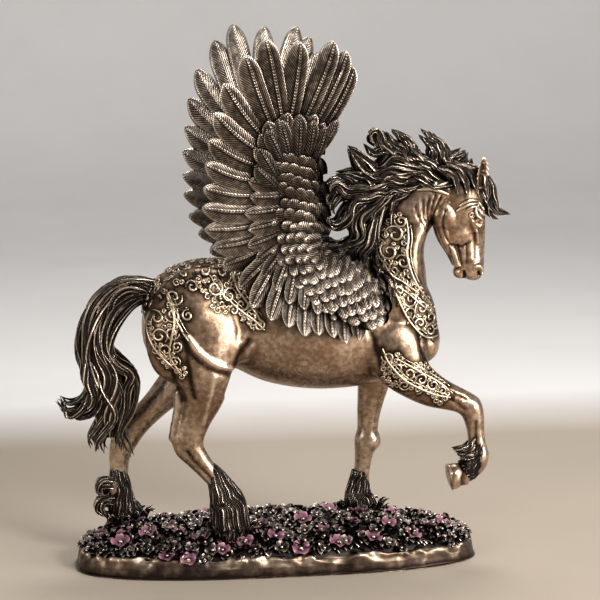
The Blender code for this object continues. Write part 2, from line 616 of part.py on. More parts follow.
def bed(bm):
    """Heap of leaves inside the rim with small flowers on it."""
    random.seed(SEED + 3)
    rings = []
    for height, inset in [(RIM_HEIGHT * 0.5, BED_INSET), (RIM_HEIGHT + BED_RISE * 0.55, BED_INSET),
                          (RIM_HEIGHT + BED_RISE * 0.8, BED_INSET * 1.6)]:
        ring = [Vector((*rim_point(math.tau * k / 48, -inset), height)) for k in range(48)]
        rings.append(ring)
    shell(bm, rings)
    for k in range(LEAVES):
        angle = math.tau * k * GOLDEN_PART
        part = math.sqrt((k + 0.5) / LEAVES)
        x, y = rim_point(angle, -BED_INSET)
        height = RIM_HEIGHT + BED_RISE * (0.62 + 0.22 * random.random())
        centre = Vector((x * part, y * part, height))
        heading = random.uniform(0, math.tau)
        rise = random.uniform(-0.1, 0.7)
        way = Vector((math.cos(heading), math.sin(heading), rise)).normalized() * LEAF_LENGTH / 2
        line = [centre + way * place for place in (-1, -0.4, 0.3, 1)]
        swell = (0.14, 0.46, 0.50, 0.14)
        tube(bm, line, [LEAF_THICKNESS * size for size in swell], [LEAF_WIDTH * size for size in swell], 6)
    for k in range(FLOWERS):
        angle = math.tau * k * GOLDEN_PART + 0.9
        part = 0.93 * math.sqrt((k + 0.6) / FLOWERS)
        x, y = rim_point(angle, -BED_INSET)
        flower(bm, Vector((x * part, y * part, BED_TOP)), random.uniform(0, math.tau))


def flower(bm, centre, heading):
    """Five round petals around a button."""
    petal = FLOWER_DIAMETER * 0.27
    stem = centre - Vector((0, 0, FLOWER_HEIGHT))
    tube(bm, [stem, centre], [petal * 0.7, petal * 0.9], [petal * 0.7, petal * 0.9], 6)
    for k in range(5):
        angle = heading + math.tau * k / 5
        place = centre + Vector((math.cos(angle), math.sin(angle), 0.15)) * (FLOWER_DIAMETER * 0.27)
        ball(bm, place, (petal, petal, FLOWER_HEIGHT * 0.32), 8)


def horse_body(bm):
    """Trunk, legs, neck and head: everything that is skin."""
    rear, front = trunk_ends()
    limb(bm, rear, front, [s[:2] + (s[2], s[3] * TRUNK_WIDTH / TRUNK_DEPTH) for s in TRUNK_STATIONS],
         TRUNK_DEPTH, 30, 24)
    limb(bm, on_trunk(0.815, 0.0), poll(), NECK_STATIONS, NECK_GIRTH, 20, 18)
    head(bm)
    standing_leg(bm, hip(RIGHT), NEAR_HIND_STRIDE, NEAR_HIND_STATIONS, HIND_GIRTH)
    standing_leg(bm, hip(LEFT), -FAR_HIND_STRIDE, FAR_HIND_STATIONS, HIND_GIRTH)
    standing_leg(bm, shoulder(LEFT), -FAR_FORE_STRIDE, FAR_FORE_STATIONS, FORE_GIRTH)
    raised_leg(bm, shoulder(RIGHT), FORE_GIRTH)


def largest_body(bm):
    """Drop the skins of sealed pockets between the fused shapes and keep the outer skin."""
    bm.verts.ensure_lookup_table()
    unseen = set(bm.verts)
    bodies = []
    while unseen:
        seed = unseen.pop()
        body = {seed}
        front = [seed]
        while front:
            for edge in front.pop().link_edges:
                for vert in edge.verts:
                    if vert in unseen:
                        unseen.discard(vert)
                        body.add(vert)
                        front.append(vert)
        bodies.append(body)
    outer = max(bodies, key=lambda body: max(v.co.x for v in body) - min(v.co.x for v in body))
    spare = [vert for body in bodies if body is not outer for vert in body]
    bmesh.ops.delete(bm, geom=spare, context="VERTS")


def evaluated(thing):
    """Mesh of an object with its modifiers applied."""
    graph = bpy.context.evaluated_depsgraph_get()
    return bpy.data.meshes.new_from_object(thing.evaluated_get(graph))


def cast(bm, name, material):
    """Fuse the closed shapes into one casting with a flat underside and a set number of facets."""
    bmesh.ops.recalc_face_normals(bm, faces=bm.faces)
    raw = bpy.data.meshes.new(name)
    bm.to_mesh(raw)
    thing = bpy.data.objects.new(name, raw)
    bpy.context.collection.objects.link(thing)
    fuse = thing.modifiers.new("Fuse", "REMESH")
    fuse.mode = "VOXEL"
    fuse.voxel_size = GRAIN
    fused = evaluated(thing)
    thing.modifiers.clear()
    work = bmesh.new()
    work.from_mesh(fused)
    largest_body(work)
    bmesh.ops.triangulate(work, faces=work.faces)
    count = len(work.faces)
    work.to_mesh(fused)
    work.free()
    thing.data = fused
    soften = thing.modifiers.new("Soften", "SMOOTH")
    soften.factor = 0.5
    soften.iterations = 2
    thin = thing.modifiers.new("Thin", "DECIMATE")
    thin.ratio = FACETS / count
    thin.use_collapse_triangulate = True
    thinned = evaluated(thing)
    thing.modifiers.clear()
    work = bmesh.new()
    work.from_mesh(thinned)
    geometry = work.verts[:] + work.edges[:] + work.faces[:]
    bmesh.ops.bisect_plane(work, geom=geometry, dist=1e-7, plane_no=(0, 0, 1), clear_inner=True)
    rim = [edge for edge in work.edges if edge.is_boundary]
    bmesh.ops.holes_fill(work, edges=rim, sides=0)
    bmesh.ops.triangulate(work, faces=work.faces)
    work.to_mesh(thinned)
    work.free()
    thing.data = thinned
    thing.data.materials.clear()
    thing.data.materials.append(material)
    thing.data.shade_smooth()
    thing.data.set_sharp_from_angle(angle=math.radians(35))
    return thing


def bronze():
    """Cold-cast bronze: brown metal with worn bright edges."""
    material = bpy.data.materials.new("bronze")
    material.use_nodes = True
    shader = material.node_tree.nodes["Principled BSDF"]
    shader.inputs["Base Color"].default_value = (0.20, 0.15, 0.115, 1.0)
    shader.inputs["Metallic"].default_value = 0.9
    shader.inputs["Roughness"].default_value = 0.38
    return material


def build():
    for thing in list(bpy.data.objects):
        bpy.data.objects.remove(thing)
    bm = bmesh.new()
    horse_body(bm)
    bmesh.ops.recalc_face_normals(bm, faces=bm.faces)
    skin = BVHTree.FromBMesh(bm)
    carving(bm, skin)
    mane(bm)
    tail(bm)
    for side in (RIGHT, LEFT):
        wing_arm(bm, side)
        wing_sheet(bm, side)
        wing_feathers(bm, side)
    plinth(bm)
    bed(bm)
    cast(bm, "pegasus_figurine", bronze())
    bm.free()


build()
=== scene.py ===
"""Winged horse figurine in cold-cast bronze: the finish of every surface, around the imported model.

Places are written in millimetres in the model's frame: the horse faces +X, its right side faces -Y
and the origin is the middle of the base's underside. They turn into metres when a mesh is made.
"""

import math

import bpy
import numpy as np
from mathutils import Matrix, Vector, kdtree
from mathutils.bvhtree import BVHTree


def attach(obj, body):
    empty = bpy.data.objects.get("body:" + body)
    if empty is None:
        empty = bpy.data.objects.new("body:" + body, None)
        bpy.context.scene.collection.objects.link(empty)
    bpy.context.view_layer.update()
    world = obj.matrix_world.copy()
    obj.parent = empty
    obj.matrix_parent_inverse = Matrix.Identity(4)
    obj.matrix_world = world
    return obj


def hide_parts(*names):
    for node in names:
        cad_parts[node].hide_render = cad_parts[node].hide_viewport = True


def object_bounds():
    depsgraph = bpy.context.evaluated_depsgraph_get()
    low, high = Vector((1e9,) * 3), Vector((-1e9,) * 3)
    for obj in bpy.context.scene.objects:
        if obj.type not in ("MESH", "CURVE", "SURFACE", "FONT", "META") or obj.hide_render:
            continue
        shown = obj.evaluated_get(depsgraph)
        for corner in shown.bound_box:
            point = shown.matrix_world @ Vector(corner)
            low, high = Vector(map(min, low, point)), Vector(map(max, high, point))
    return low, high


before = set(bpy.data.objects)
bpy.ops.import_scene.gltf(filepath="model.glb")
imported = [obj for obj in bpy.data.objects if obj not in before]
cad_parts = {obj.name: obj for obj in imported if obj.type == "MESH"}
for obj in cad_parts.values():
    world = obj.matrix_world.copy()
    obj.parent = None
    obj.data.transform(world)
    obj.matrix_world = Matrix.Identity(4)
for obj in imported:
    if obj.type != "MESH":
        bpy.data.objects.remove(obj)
cad_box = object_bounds()

NODE = "pegasus_figurine"

# Height of the figurine as drawn here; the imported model's height sets what one drawn millimetre is
DRAWN_HEIGHT = 266.7
MM = (cad_box[1][2] - cad_box[0][2]) / DRAWN_HEIGHT

# Camera: where it looks, from how far and from which side
AIM = (12.2, 0.0, 132.5)
CAMERA_DISTANCE = 1100.0
CAMERA_AZIMUTH = -8.5
CAMERA_ELEVATION = 9.5
LENS = 132.0

# Base
BASE_LENGTH = 203.0
BASE_DEPTH = 72.0
RIM_HEIGHT = 10.0
BASE_ROUNDNESS = 2.7
GOLDEN_PART = 0.6180339

# Sides, as the sign of y, and the top, seen from above
NEAR = -1
FAR = 1
TOP = 0

# Size of the cells from which the skins are made
SKIN_GRAIN = 0.98
HEAD_GRAIN = 0.50


class Build:
    """Gathers grids of points into one mesh, with a place on the surface and a relief for each point."""

    def __init__(self):
        self.points = []
        self.relief = []
        self.places = []
        self.faces = []
        self.count = 0

    def grid(self, points, relief=0.5, places=None, wrap=True):
        """Adds rows of points. With wrap, each row closes into a ring."""
        rows, columns = points.shape[:2]
        index = self.count + np.arange(rows * columns).reshape(rows, columns)
        if wrap:
            index = np.concatenate([index, index[:, :1]], axis=1)
        quads = np.stack([index[:-1, :-1], index[:-1, 1:], index[1:, 1:], index[1:, :-1]], axis=-1)
        if places is None:
            places = np.zeros((rows, columns, 2))
        self.points.append(points.reshape(-1, 3))
        self.relief.append(np.broadcast_to(relief, (rows, columns)).reshape(-1))
        self.places.append(places.reshape(-1, 2))
        self.faces.append(quads.reshape(-1, 4))
        self.count += rows * columns

    def arrays(self):
        """Points in metres and faces."""
        return np.concatenate(self.points) * MM, np.concatenate(self.faces)

    def piece(self, name, material, mirror=False):
        """Makes the object; a mirrored one is the far side's twin."""
        points, faces = self.arrays()
        if mirror:
            points = points * np.array([1.0, -1.0, 1.0])
            faces = faces[:, ::-1]
        mesh = quad_mesh(name, points, faces)
        mark(mesh, np.concatenate(self.relief))
        places = np.concatenate(self.places)
        layer = mesh.uv_layers.new(name="place")
        layer.data.foreach_set("uv", places[faces.ravel()].astype(np.float32).ravel())
        return finish_piece(name, mesh, material)


def quad_mesh(name, points, faces):
    """A mesh from points in metres and quads."""
    mesh = bpy.data.meshes.new(name)
    mesh.vertices.add(len(points))
    mesh.vertices.foreach_set("co", points.astype(np.float32).ravel())
    mesh.loops.add(len(faces) * 4)
    mesh.loops.foreach_set("vertex_index", faces.astype(np.int32).ravel())
    mesh.polygons.add(len(faces))
    mesh.polygons.foreach_set("loop_start", np.arange(0, len(faces) * 4, 4, dtype=np.int32))
    mesh.update(calc_edges=True)
    return mesh


def mark(mesh, relief):
    """Stores how far each point stands out, 0 in a recess and 1 on a worn edge."""
    layer = mesh.attributes.new("relief", "FLOAT", "POINT")
    layer.data.foreach_set("value", np.asarray(relief, dtype=np.float32))


def finish_piece(name, mesh, material):
    """Links a finished mesh as a piece of the figurine."""
    mesh.shade_smooth()
    mesh.materials.clear()
    mesh.materials.append(material)
    thing = bpy.data.objects.new(name, mesh)
    bpy.context.collection.objects.link(thing)
    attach(thing, "root")
    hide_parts(NODE)
    return thing


def spline(points, count):
    """Even samples of the smooth curve that passes through all the points."""
    rows = np.array(points, dtype=float)
    rows = np.vstack([2 * rows[0] - rows[1], rows, 2 * rows[-1] - rows[-2]])
    place = np.linspace(0, len(points) - 1, count)
    span = np.minimum(place.astype(int), len(points) - 2)
    u = (place - span)[:, None]
    a, b, c, d = rows[span], rows[span + 1], rows[span + 2], rows[span + 3]
    square, cube = 2 * a - 5 * b + 4 * c - d, 3 * b - a - 3 * c + d
    return 0.5 * (2 * b + (c - a) * u + square * u ** 2 + cube * u ** 3)


def unit(vectors):
    """The same ways, each with a length of one."""
    length = np.linalg.norm(vectors, axis=-1, keepdims=True)
    return vectors / np.maximum(length, 1e-9)


def rings(path, depth, width, angle, reference=(0.0, 1.0, 0.0)):
    """Rings of points round a path; depth lies near the XZ plane and width towards the reference."""
    along = unit(np.gradient(path, axis=0))
    across = unit(np.cross(np.array(reference), along))
    side = unit(np.cross(along, across))
    reach = (across[:, None] * (depth * np.cos(angle))[..., None]
             + side[:, None] * (width * np.sin(angle))[..., None])
    return path[:, None] + reach


def spread(middle, across, reach, up, height):
    """A sheet of points: rows follow the middle line, columns reach across it and stand up by a height."""
    return middle[:, None] + across * reach[..., None] + up * height[..., None]


def circle(sides):
    """Angles round a ring, as one row."""
    return np.linspace(0, math.tau, sides, endpoint=False)[None, :]


def loft(build, stations, steps, sides=28):
    """A closed limb through stations of (x, y, z, half depth, half width)."""
    rows = spline(stations, steps)
    rows = np.vstack([rows[:1], rows, rows[-1:]])
    rows[0, 3:] = 0.01
    rows[-1, 3:] = 0.01
    rows[:, 3:] = np.maximum(rows[:, 3:], 0.01)
    build.grid(rings(rows[:, :3], rows[:, 3:4], rows[:, 4:5], circle(sides)))


def egg(build, centre, radii, tilt=0.0, sides=20):
    """A closed egg shape, tilted about Y by an angle in degrees."""
    slope = np.linspace(-math.pi / 2 + 0.02, math.pi / 2 - 0.02, sides // 2 + 1)[:, None]
    turn = circle(sides)
    x = np.cos(turn) * np.cos(slope) * radii[0]
    y = np.sin(turn) * np.cos(slope) * radii[1]
    z = np.sin(slope) * np.ones_like(turn) * radii[2]
    c, s = math.cos(math.radians(tilt)), math.sin(math.radians(tilt))
    points = np.stack([x * c + z * s, y, z * c - x * s], axis=-1) + np.array(centre, dtype=float)
    build.grid(points)


# Horse: trunk and legs as (x, y, z, half depth, half width)
TRUNK = [
    (-66.5, 0, 127, 5, 4), (-62.5, 0, 127.6, 13, 10), (-56, 0, 128.2, 19, 15), (-45.5, 0, 127.9, 25.5, 20),
    (-30.6, 0, 126.4, 28, 23), (-15.5, 0, 125, 26.5, 23), (2.1, 0, 119.8, 29, 25), (19.8, 0, 117, 29.5, 26),
    (35.1, 0, 118.2, 30.5, 24), (50.4, 0, 120, 30, 21), (65.8, 0, 119.9, 25, 17), (76, 0, 118, 15.5, 12),
    (81, 0, 117, 5, 5)]
NEAR_HIND = [
    (-47, -12, 143, 9, 6), (-45, -14.5, 138, 17, 10), (-43.4, -16.5, 126.4, 24, 12.5),
    (-42, -18, 111.5, 23.5, 12.5), (-39.6, -18.5, 102.4, 18.5, 11.5), (-38.2, -18.5, 93.4, 12.6, 9.3),
    (-39.3, -18.3, 85.9, 9.7, 7.3), (-42.3, -18, 77.9, 7.9, 5.8), (-45.3, -17.8, 69.9, 7.6, 5.2),
    (-46.2, -17.6, 64.5, 7.8, 5.4), (-42.4, -17.5, 58.2, 6.1, 4.8), (-37, -17.5, 51.4, 5, 4.2),
    (-31.3, -17.5, 44.3, 4.8, 4.1), (-27.2, -17.5, 38.6, 6.1, 4.9), (-24.9, -17.5, 32.9, 5.2, 4.8),
    (-23.4, -17.5, 28.6, 5, 4.8), (-22.6, -17.5, 24.5, 5.4, 5.2)]
FAR_HIND = [
    (-46, 11, 138, 9, 6), (-44.5, 13.5, 132, 17, 10), (-42.5, 15.5, 121, 22, 12),
    (-41, 16.5, 110.6, 20.5, 12), (-43, 17, 97.6, 14, 9.5), (-48.4, 17, 88.5, 9.6, 7.6),
    (-58, 17, 79, 7.2, 6), (-68.3, 17, 69, 6.7, 5.2), (-75.3, 17, 59.8, 7, 5.2), (-77.9, 17, 51, 5.4, 4.5),
    (-78.2, 17, 42.5, 4.8, 4.1), (-79.1, 17, 35.8, 6, 4.9), (-77.9, 17, 29.6, 5.2, 4.8),
    (-76.2, 17, 24.8, 6.2, 6), (-75, 17, 20.5, 7.2, 6.9)]
FAR_FORE = [
    (58, 10, 124, 9, 5), (57, 13.5, 117, 13.5, 8.5), (55.8, 15, 106.2, 13, 9), (53.8, 15.5, 92.6, 9.6, 7.8),
    (51.8, 15.5, 81.2, 7.6, 6.3), (50.3, 15.5, 71.3, 6.2, 5.4), (49.6, 15.5, 62, 5.4, 4.9),
    (48.8, 15.5, 56.2, 6.1, 5.4), (48, 15.5, 50.6, 5.1, 4.7), (47.3, 15.5, 44, 4.3, 4),
    (46.4, 15.5, 37.4, 4.3, 4), (45.6, 15.5, 31.8, 5.5, 4.8), (46.3, 15.5, 26.3, 4.9, 4.7),
    (47.2, 15.5, 22, 5.9, 5.8), (47.8, 15.5, 18, 7, 6.8)]
RAISED_FORE = [
    (50, -10, 124, 10, 5), (53, -13.5, 117.5, 15, 8.5), (57.6, -15.5, 108.8, 16.5, 9.5),
    (62.8, -16, 99.4, 13.2, 9.2), (69, -16, 92.8, 10.3, 8.1), (77.1, -16, 87.6, 8.6, 6.9),
    (85.4, -16, 84.2, 7, 5.8), (91.8, -16, 81.6, 6.2, 5.4), (96.4, -16, 78.2, 6.2, 5.6),
    (98.4, -16, 72.4, 5.3, 4.9), (99.3, -16, 65.5, 4.5, 4.1), (100.1, -16, 59.5, 4.6, 4.2),
    (101, -16, 53.8, 5.4, 4.8), (99.6, -16, 48.8, 5.2, 4.7), (95.4, -16, 46.4, 5.6, 5.2)]
NECK = [
    (53.5, 0, 116, 22, 13), (57.5, 0, 128.7, 20.5, 14.5), (59.8, 0, 144, 16.8, 13.2),
    (61.6, 0, 157.7, 13.7, 11.2), (65.4, 0, 169.8, 12.6, 10.2), (72.2, 0, 179, 12, 9.6),
    (80, 0, 184.8, 11.4, 9), (90, 0, 187, 9, 8)]
HEAD = [
    (89, 0, 196, 6, 5), (91.2, 0, 190.4, 10.4, 8.6), (92.8, 0, 184.4, 12, 9.8), (93.9, 0, 176.8, 12, 8.9),
    (94.7, 0, 168.2, 11, 7.4), (95.9, 0, 161, 9.6, 6.4), (97.5, 0, 154, 8.4, 6), (98.4, 0, 148.9, 7.8, 6),
    (98.6, 0, 145, 7, 5.8), (98, 0, 142.4, 5.2, 4.6), (97.6, 0, 141.2, 2.2, 2)]


def horse_muscles(build):
    """The forms that stand out under the skin of the trunk, neck and legs."""
    for s in (NEAR, FAR):
        egg(build, (-39, s * 11.5, 133), (24, 12, 19.5), -8)
        egg(build, (-56, s * 10.5, 122), (10.5, 10, 20), 6)
        egg(build, (57, s * 11.5, 131), (11, 9, 23), -24)
        egg(build, (72, s * 9, 111), (9.5, 8.5, 11))
        egg(build, (55, s * 14.0, 113), (14, 9, 12), 10)
        egg(build, (77.0, s * 6.5, 112), (5.4, 7.0, 10.5))
        loft(build, [(70, s * 9.8, 118, 7, 6), (67.6, s * 10.4, 133, 6.6, 5),
                     (65.8, s * 9.8, 148, 5.8, 4.5), (67.0, s * 8.6, 161, 5.0, 3.9),
                     (73.6, s * 7.4, 173, 3.8, 3.1)], 18, 14)
    egg(build, (44, 0, 147), (21, 7.5, 8))
    egg(build, (-28, -19.0, 110), (9, 7.5, 15), 24)
    egg(build, (-29, 17.0, 110), (9, 7.5, 15), 24)
    egg(build, (-20, -16, 116), (13, 8, 11), -30)
    egg(build, (-21, 15, 116), (13, 8, 11), -30)
    loft(build, [(-50, -18, 92, 3.2, 3), (-51.5, -17.9, 82, 2.3, 2.2), (-53.0, -17.8, 74, 2.2, 2.2),
                 (-53.4, -17.6, 66.5, 3.0, 3.0)], 12, 12)
    loft(build, [(-54, 17, 92, 3.2, 3), (-64, 17, 80, 2.3, 2.2), (-74, 17, 70, 2.2, 2.2),
                 (-82, 17, 61, 3.0, 3.0)], 12, 12)
    egg(build, (50.4, 15.5, 56.0), (6.4, 5.7, 6.6))
    egg(build, (96.4, -16, 78.9), (6.0, 5.8, 6.2))


def hoof(build, crown, sole):
    """A hoof that widens from its crown to a flat sole, with a band at the crown."""
    crown, sole = np.array(crown, dtype=float), np.array(sole, dtype=float)
    rows = [(0.0, 5.4), (0.12, 6.4), (0.22, 6.0), (0.6, 6.6), (0.96, 7.2), (1.0, 6.9)]
    stations = [(*(crown + (sole - crown) * part), size, size * 0.9) for part, size in rows]
    loft(build, stations, 18)


def horse_shapes():
    """All the closed shapes of the horse's skin below the head."""
    build = Build()
    loft(build, TRUNK, 60, 40)
    loft(build, NECK, 40, 34)
    for leg in (NEAR_HIND, FAR_HIND, FAR_FORE, RAISED_FORE):
        loft(build, leg, 70)
    horse_muscles(build)
    hoof(build, (95.2, -16, 44.6), (85.2, -16, 42.7))
    return build


def ear(build, root, tip, side):
    """A leaf-shaped ear that is hollow in front."""
    root, tip = np.array(root, dtype=float), np.array(tip, dtype=float)
    v = np.linspace(0, 1, 14)[:, None]
    u = np.linspace(-1, 1, 11)[None, :]
    half = 4.1 * np.sin(math.pi * np.clip(v * 0.86 + 0.10, 0, 1)) ** 0.8
    along = unit(tip - root)
    across = unit(np.cross(along, (0.35, side * 0.95, 0)))
    front = np.cross(across, along)
    cup = 2.0 * u ** 2 * np.sin(math.pi * np.clip(v * 0.9, 0, 1)) ** 0.5
    outer = spread(root + v * (tip - root), across, u * half, front, cup - 1.3)
    inner = outer + front * (0.9 * (1 - u ** 2) * np.ones_like(v))[..., None]
    ring = np.concatenate([outer, inner[:, -2:0:-1]], axis=1)
    build.grid(ring)


def jaw(build, s):
    """Jowl, throat, lower jaw and cheek bone on one side of the head."""
    egg(build, (91.6, s * 3.8, 168.2), (8.8, 4.1, 10.6))
    egg(build, (85.0, s * 4.6, 174.5), (7.5, 4.6, 8.5))
    loft(build, [(83.0, s * 4.6, 172, 3.6, 3.2), (85.2, s * 4.4, 163, 3.2, 2.8),
                 (89.4, s * 3.6, 155, 2.6, 2.3), (92.6, s * 2.8, 148.5, 2.4, 2.4)], 16, 14)
    loft(build, [(97.6, s * 7.6, 172.5, 1.1, 1.1), (100.4, s * 6.4, 166, 1.3, 1.3),
                 (101.6, s * 5.2, 160, 0.9, 0.9)], 12, 10)


def eye(build, s):
    """Brow, eyeball, upper lid and lower lid."""
    egg(build, (101.2, s * 6.2, 175.6), (3.8, 2.4, 3.4), 20)
    egg(build, (102.2, s * 6.6, 170.9), (1.9, 1.4, 1.6))
    loft(build, [(99.4, s * 7.7, 170.6, 0.5, 0.6), (101.0, s * 8.2, 172.7, 0.7, 0.8),
                 (103.4, s * 7.3, 172.6, 0.7, 0.7), (104.8, s * 5.8, 170.8, 0.5, 0.5)], 12, 10)
    loft(build, [(99.5, s * 7.7, 170.4, 0.5, 0.5), (101.6, s * 7.9, 168.8, 0.6, 0.6),
                 (104.5, s * 6.0, 169.8, 0.5, 0.5)], 10, 10)


def nostril(build, s):
    """The raised edge round a nostril."""
    loft(build, [(99.4, s * 5.2, 146.6, 0.7, 0.7), (100.6, s * 5.8, 148.4, 1.0, 1.0),
                 (102.8, s * 5.2, 148.2, 1.1, 1.0), (104.4, s * 4.2, 146.0, 1.0, 0.9),
                 (103.8, s * 4.4, 143.6, 0.7, 0.7)], 14, 10)


def head_shapes():
    """Skull, bridge of the nose, jaws, eyes, nostrils, ears, chin and lips."""
    build = Build()
    loft(build, HEAD, 50, 34)
    loft(build, [(80, 0, 182, 9, 7.6), (87, 0, 186, 10, 8.2), (92, 0, 186, 10, 8.2)], 10)
    loft(build, [(103.2, 0, 184, 3.0, 4.4), (103.8, 0, 172, 2.6, 3.2), (104.2, 0, 160, 2.2, 2.6),
                 (103.8, 0, 151, 2.2, 3.0)], 20, 18)
    for s, root_x, tip_z in ((NEAR, 101.8, 204.5), (FAR, 97.0, 202.0)):
        jaw(build, s)
        eye(build, s)
        nostril(build, s)
        ear(build, (root_x, s * 10.4, 187.5), (root_x + 0.8, s * 12.8, tip_z), s)
    egg(build, (94.0, 0, 144.9), (4.0, 4.4, 3.4))
    egg(build, (100.4, 0, 144.4), (3.9, 4.8, 3.4))
    return build


# Creases pressed into the skin: a line, how wide and how deep
HEAD_CREASES = [
    ([(94.6, 5, 146), (95.2, 4, 143.4), (95.4, 3, 140.8)], 0.6, 1),
    ([(102.2, 5.4, 145.3), (102.5, 5.4, 143.9)], 0.6, 1.3),
    ([(101.8, 14, 190), (102.2, 14, 195), (102.4, 14, 200.5)], 1.1, 0.9),
    ([(84, 9, 177), (82.8, 9, 171), (84.6, 8, 164), (88, 6, 158.8)], 0.8, 0.6),
    ([(86.6, 6, 159), (88.6, 6, 149.4)], 0.7, 0.5),
    ([(91.2, 7, 159.2), (93, 6, 149.6)], 0.9, 0.45),
    ([(95.6, 8, 159.4), (96, 7, 150.5)], 0.9, 0.45),
    ([(99.4, 8, 165), (99.6, 7, 153)], 0.9, 0.3),
    ([(88, 9, 159.8), (92.4, 9, 158.4), (97, 8, 160.8)], 0.8, 0.5)]
SKIN_CREASES = [
    ([(76.2, 11, 168.5), (72.8, 11, 176), (72.6, 10, 182.5)], 0.7, 0.7),
    ([(76.8, 11, 169.5), (75, 11, 177.5), (75.6, 10, 184)], 0.7, 0.8),
    ([(77.6, 11, 170.5), (77.4, 11, 178.5), (78.8, 9, 185)], 0.7, 0.8),
    ([(78.4, 11, 171), (79.8, 10, 178.5), (82, 9, 184)], 0.7, 0.8),
    ([(79.2, 10, 171.5), (81.8, 10, 178), (84.6, 9, 182.5)], 0.7, 0.7),
    ([(75.4, 11, 167), (70.6, 11, 173.5), (68.8, 11, 180)], 0.7, 0.5),
    ([(-16.5, 22, 117), (-22, 24, 108), (-24, 23, 98), (-27.5, 20, 90)], 1.8, 1),
    ([(-57.5, 22, 118), (-55.5, 24, 108), (-53, 22, 98), (-49, 20, 88)], 1.6, 0.7),
    ([(-50, 27, 122), (-48, 29, 112), (-46, 28, 100), (-44, 24, 90)], 1.5, 0.8),
    ([(66, 22, 128), (68.5, 22, 118), (70.5, 22, 108), (74.5, 22, 98)], 1.5, 0.8),
    ([(44, 25, 121), (47.5, 25, 110), (51, 25, 100), (57, 24, 92)], 1.6, 0.8),
    ([(60, 24, 104), (68, 24, 96), (78, 22, 89.5), (90, 20, 83.5)], 1.2, 0.5),
    ([(-47.5, 30, 121), (-42, 30, 113.5), (-34, 30, 107), (-25, 28, 103.5)], 1.3, -1.2),
    ([(-49.5, 30, 118), (-44, 30, 110.5), (-35.5, 30, 103.8), (-26, 28, 100.6)], 1.5, 0.7),
    ([(-34, 26, 100), (-36.5, 24, 88), (-39, 22, 76)], 1.2, -0.5),
    ([(64, 24, 103), (76, 22, 93), (88, 20, 87)], 1, -0.4),
    ([(84.2, 24, 88.2), (88.3, 24, 86.2), (93, 24, 83.6)], 0.6, 0.8),
    ([(83.8, 24, 84.6), (88.6, 24, 81.8), (92.5, 24, 78.6)], 0.6, 0.7),
    ([(48.6, 24, 57.2), (50.6, 24, 57), (52.6, 24, 57.4)], 0.9, 1.2),
    ([(47.2, 24, 52), (46.6, 24, 44), (45.2, 24, 36)], 0.7, 0.6),
    ([(52.5, 24, 84), (51, 24, 72), (50.2, 24, 62)], 0.8, 0.5),
    ([(-47, 24, 62), (-43, 24, 56.4), (-36.6, 24, 49.4), (-33, 24, 44.6)], 0.7, 0.8),
    ([(-76.8, 24, 58), (-80.4, 24, 50), (-81, 24, 41)], 0.7, 0.7),
    ([(98.2, 24, 72), (98.4, 24, 64), (98.8, 24, 57)], 0.7, 0.7),
    ([(92.8, 24, 51.5), (91.6, 24, 45), (92, 24, 38.5)], 1.1, 0.7),
    ([(86.6, 24, 50.5), (86.4, 24, 36)], 0.6, 0.4)]


def press(points, normals, creases, side):
    """Moves points inwards along each crease; returns the points and how far each was pressed."""
    pressed = np.zeros(len(points))
    for line, width, depth in creases:
        path = spline([(x, side * y, z) for x, y, z in line], 24)
        low, high = path.min(axis=0) - 3 * width, path.max(axis=0) + 3 * width
        low[1], high[1] = min(low[1], side * 40), max(high[1], side * 2)
        near = np.all((points > low) & (points < high), axis=1)
        flat = points[near][:, None, (0, 2)] - path[None, :, (0, 2)]
        gap = np.sqrt((flat ** 2).sum(axis=2)).min(axis=1)
        pressed[near] += depth * np.exp(-(gap / width) ** 2)
    return points - normals * pressed[:, None], pressed


def skin_mesh(name, build, grain, soften):
    """One smooth skin over closed shapes, from a remesh at the given grain; points stay in millimetres."""
    points, faces = build.arrays()
    rough = bpy.data.objects.new(name, quad_mesh(name, points, faces))
    bpy.context.collection.objects.link(rough)
    fuse = rough.modifiers.new("fuse", "REMESH")
    fuse.mode = "VOXEL"
    fuse.voxel_size = grain * MM
    smooth = rough.modifiers.new("soften", "SMOOTH")
    smooth.factor = 0.5
    smooth.iterations = soften
    graph = bpy.context.evaluated_depsgraph_get()
    mesh = bpy.data.meshes.new_from_object(rough.evaluated_get(graph))
    bpy.data.objects.remove(rough)
    return mesh


def read(mesh, key):
    """The place or the normal of each point of a mesh."""
    flat = np.empty(len(mesh.vertices) * 3, dtype=np.float32)
    mesh.vertices.foreach_get(key, flat)
    return flat.reshape(-1, 3).astype(float)


def skin_tree(mesh):
    """A skin's faces, ready for lines to be cast onto them."""
    return BVHTree.FromPolygons([v.co for v in mesh.vertices], [tuple(p.vertices) for p in mesh.polygons])


def creased(mesh, creases):
    """Presses the creases into both sides of a skin and returns the relief that they leave."""
    points, normals = read(mesh, "co") / MM, read(mesh, "normal")
    relief = np.full(len(points), 0.55)
    for side in (NEAR, FAR):
        points, pressed = press(points, normals, creases, side)
        relief -= 0.45 * pressed
    mesh.vertices.foreach_set("co", (points * MM).astype(np.float32).ravel())
    mesh.update()
    return relief


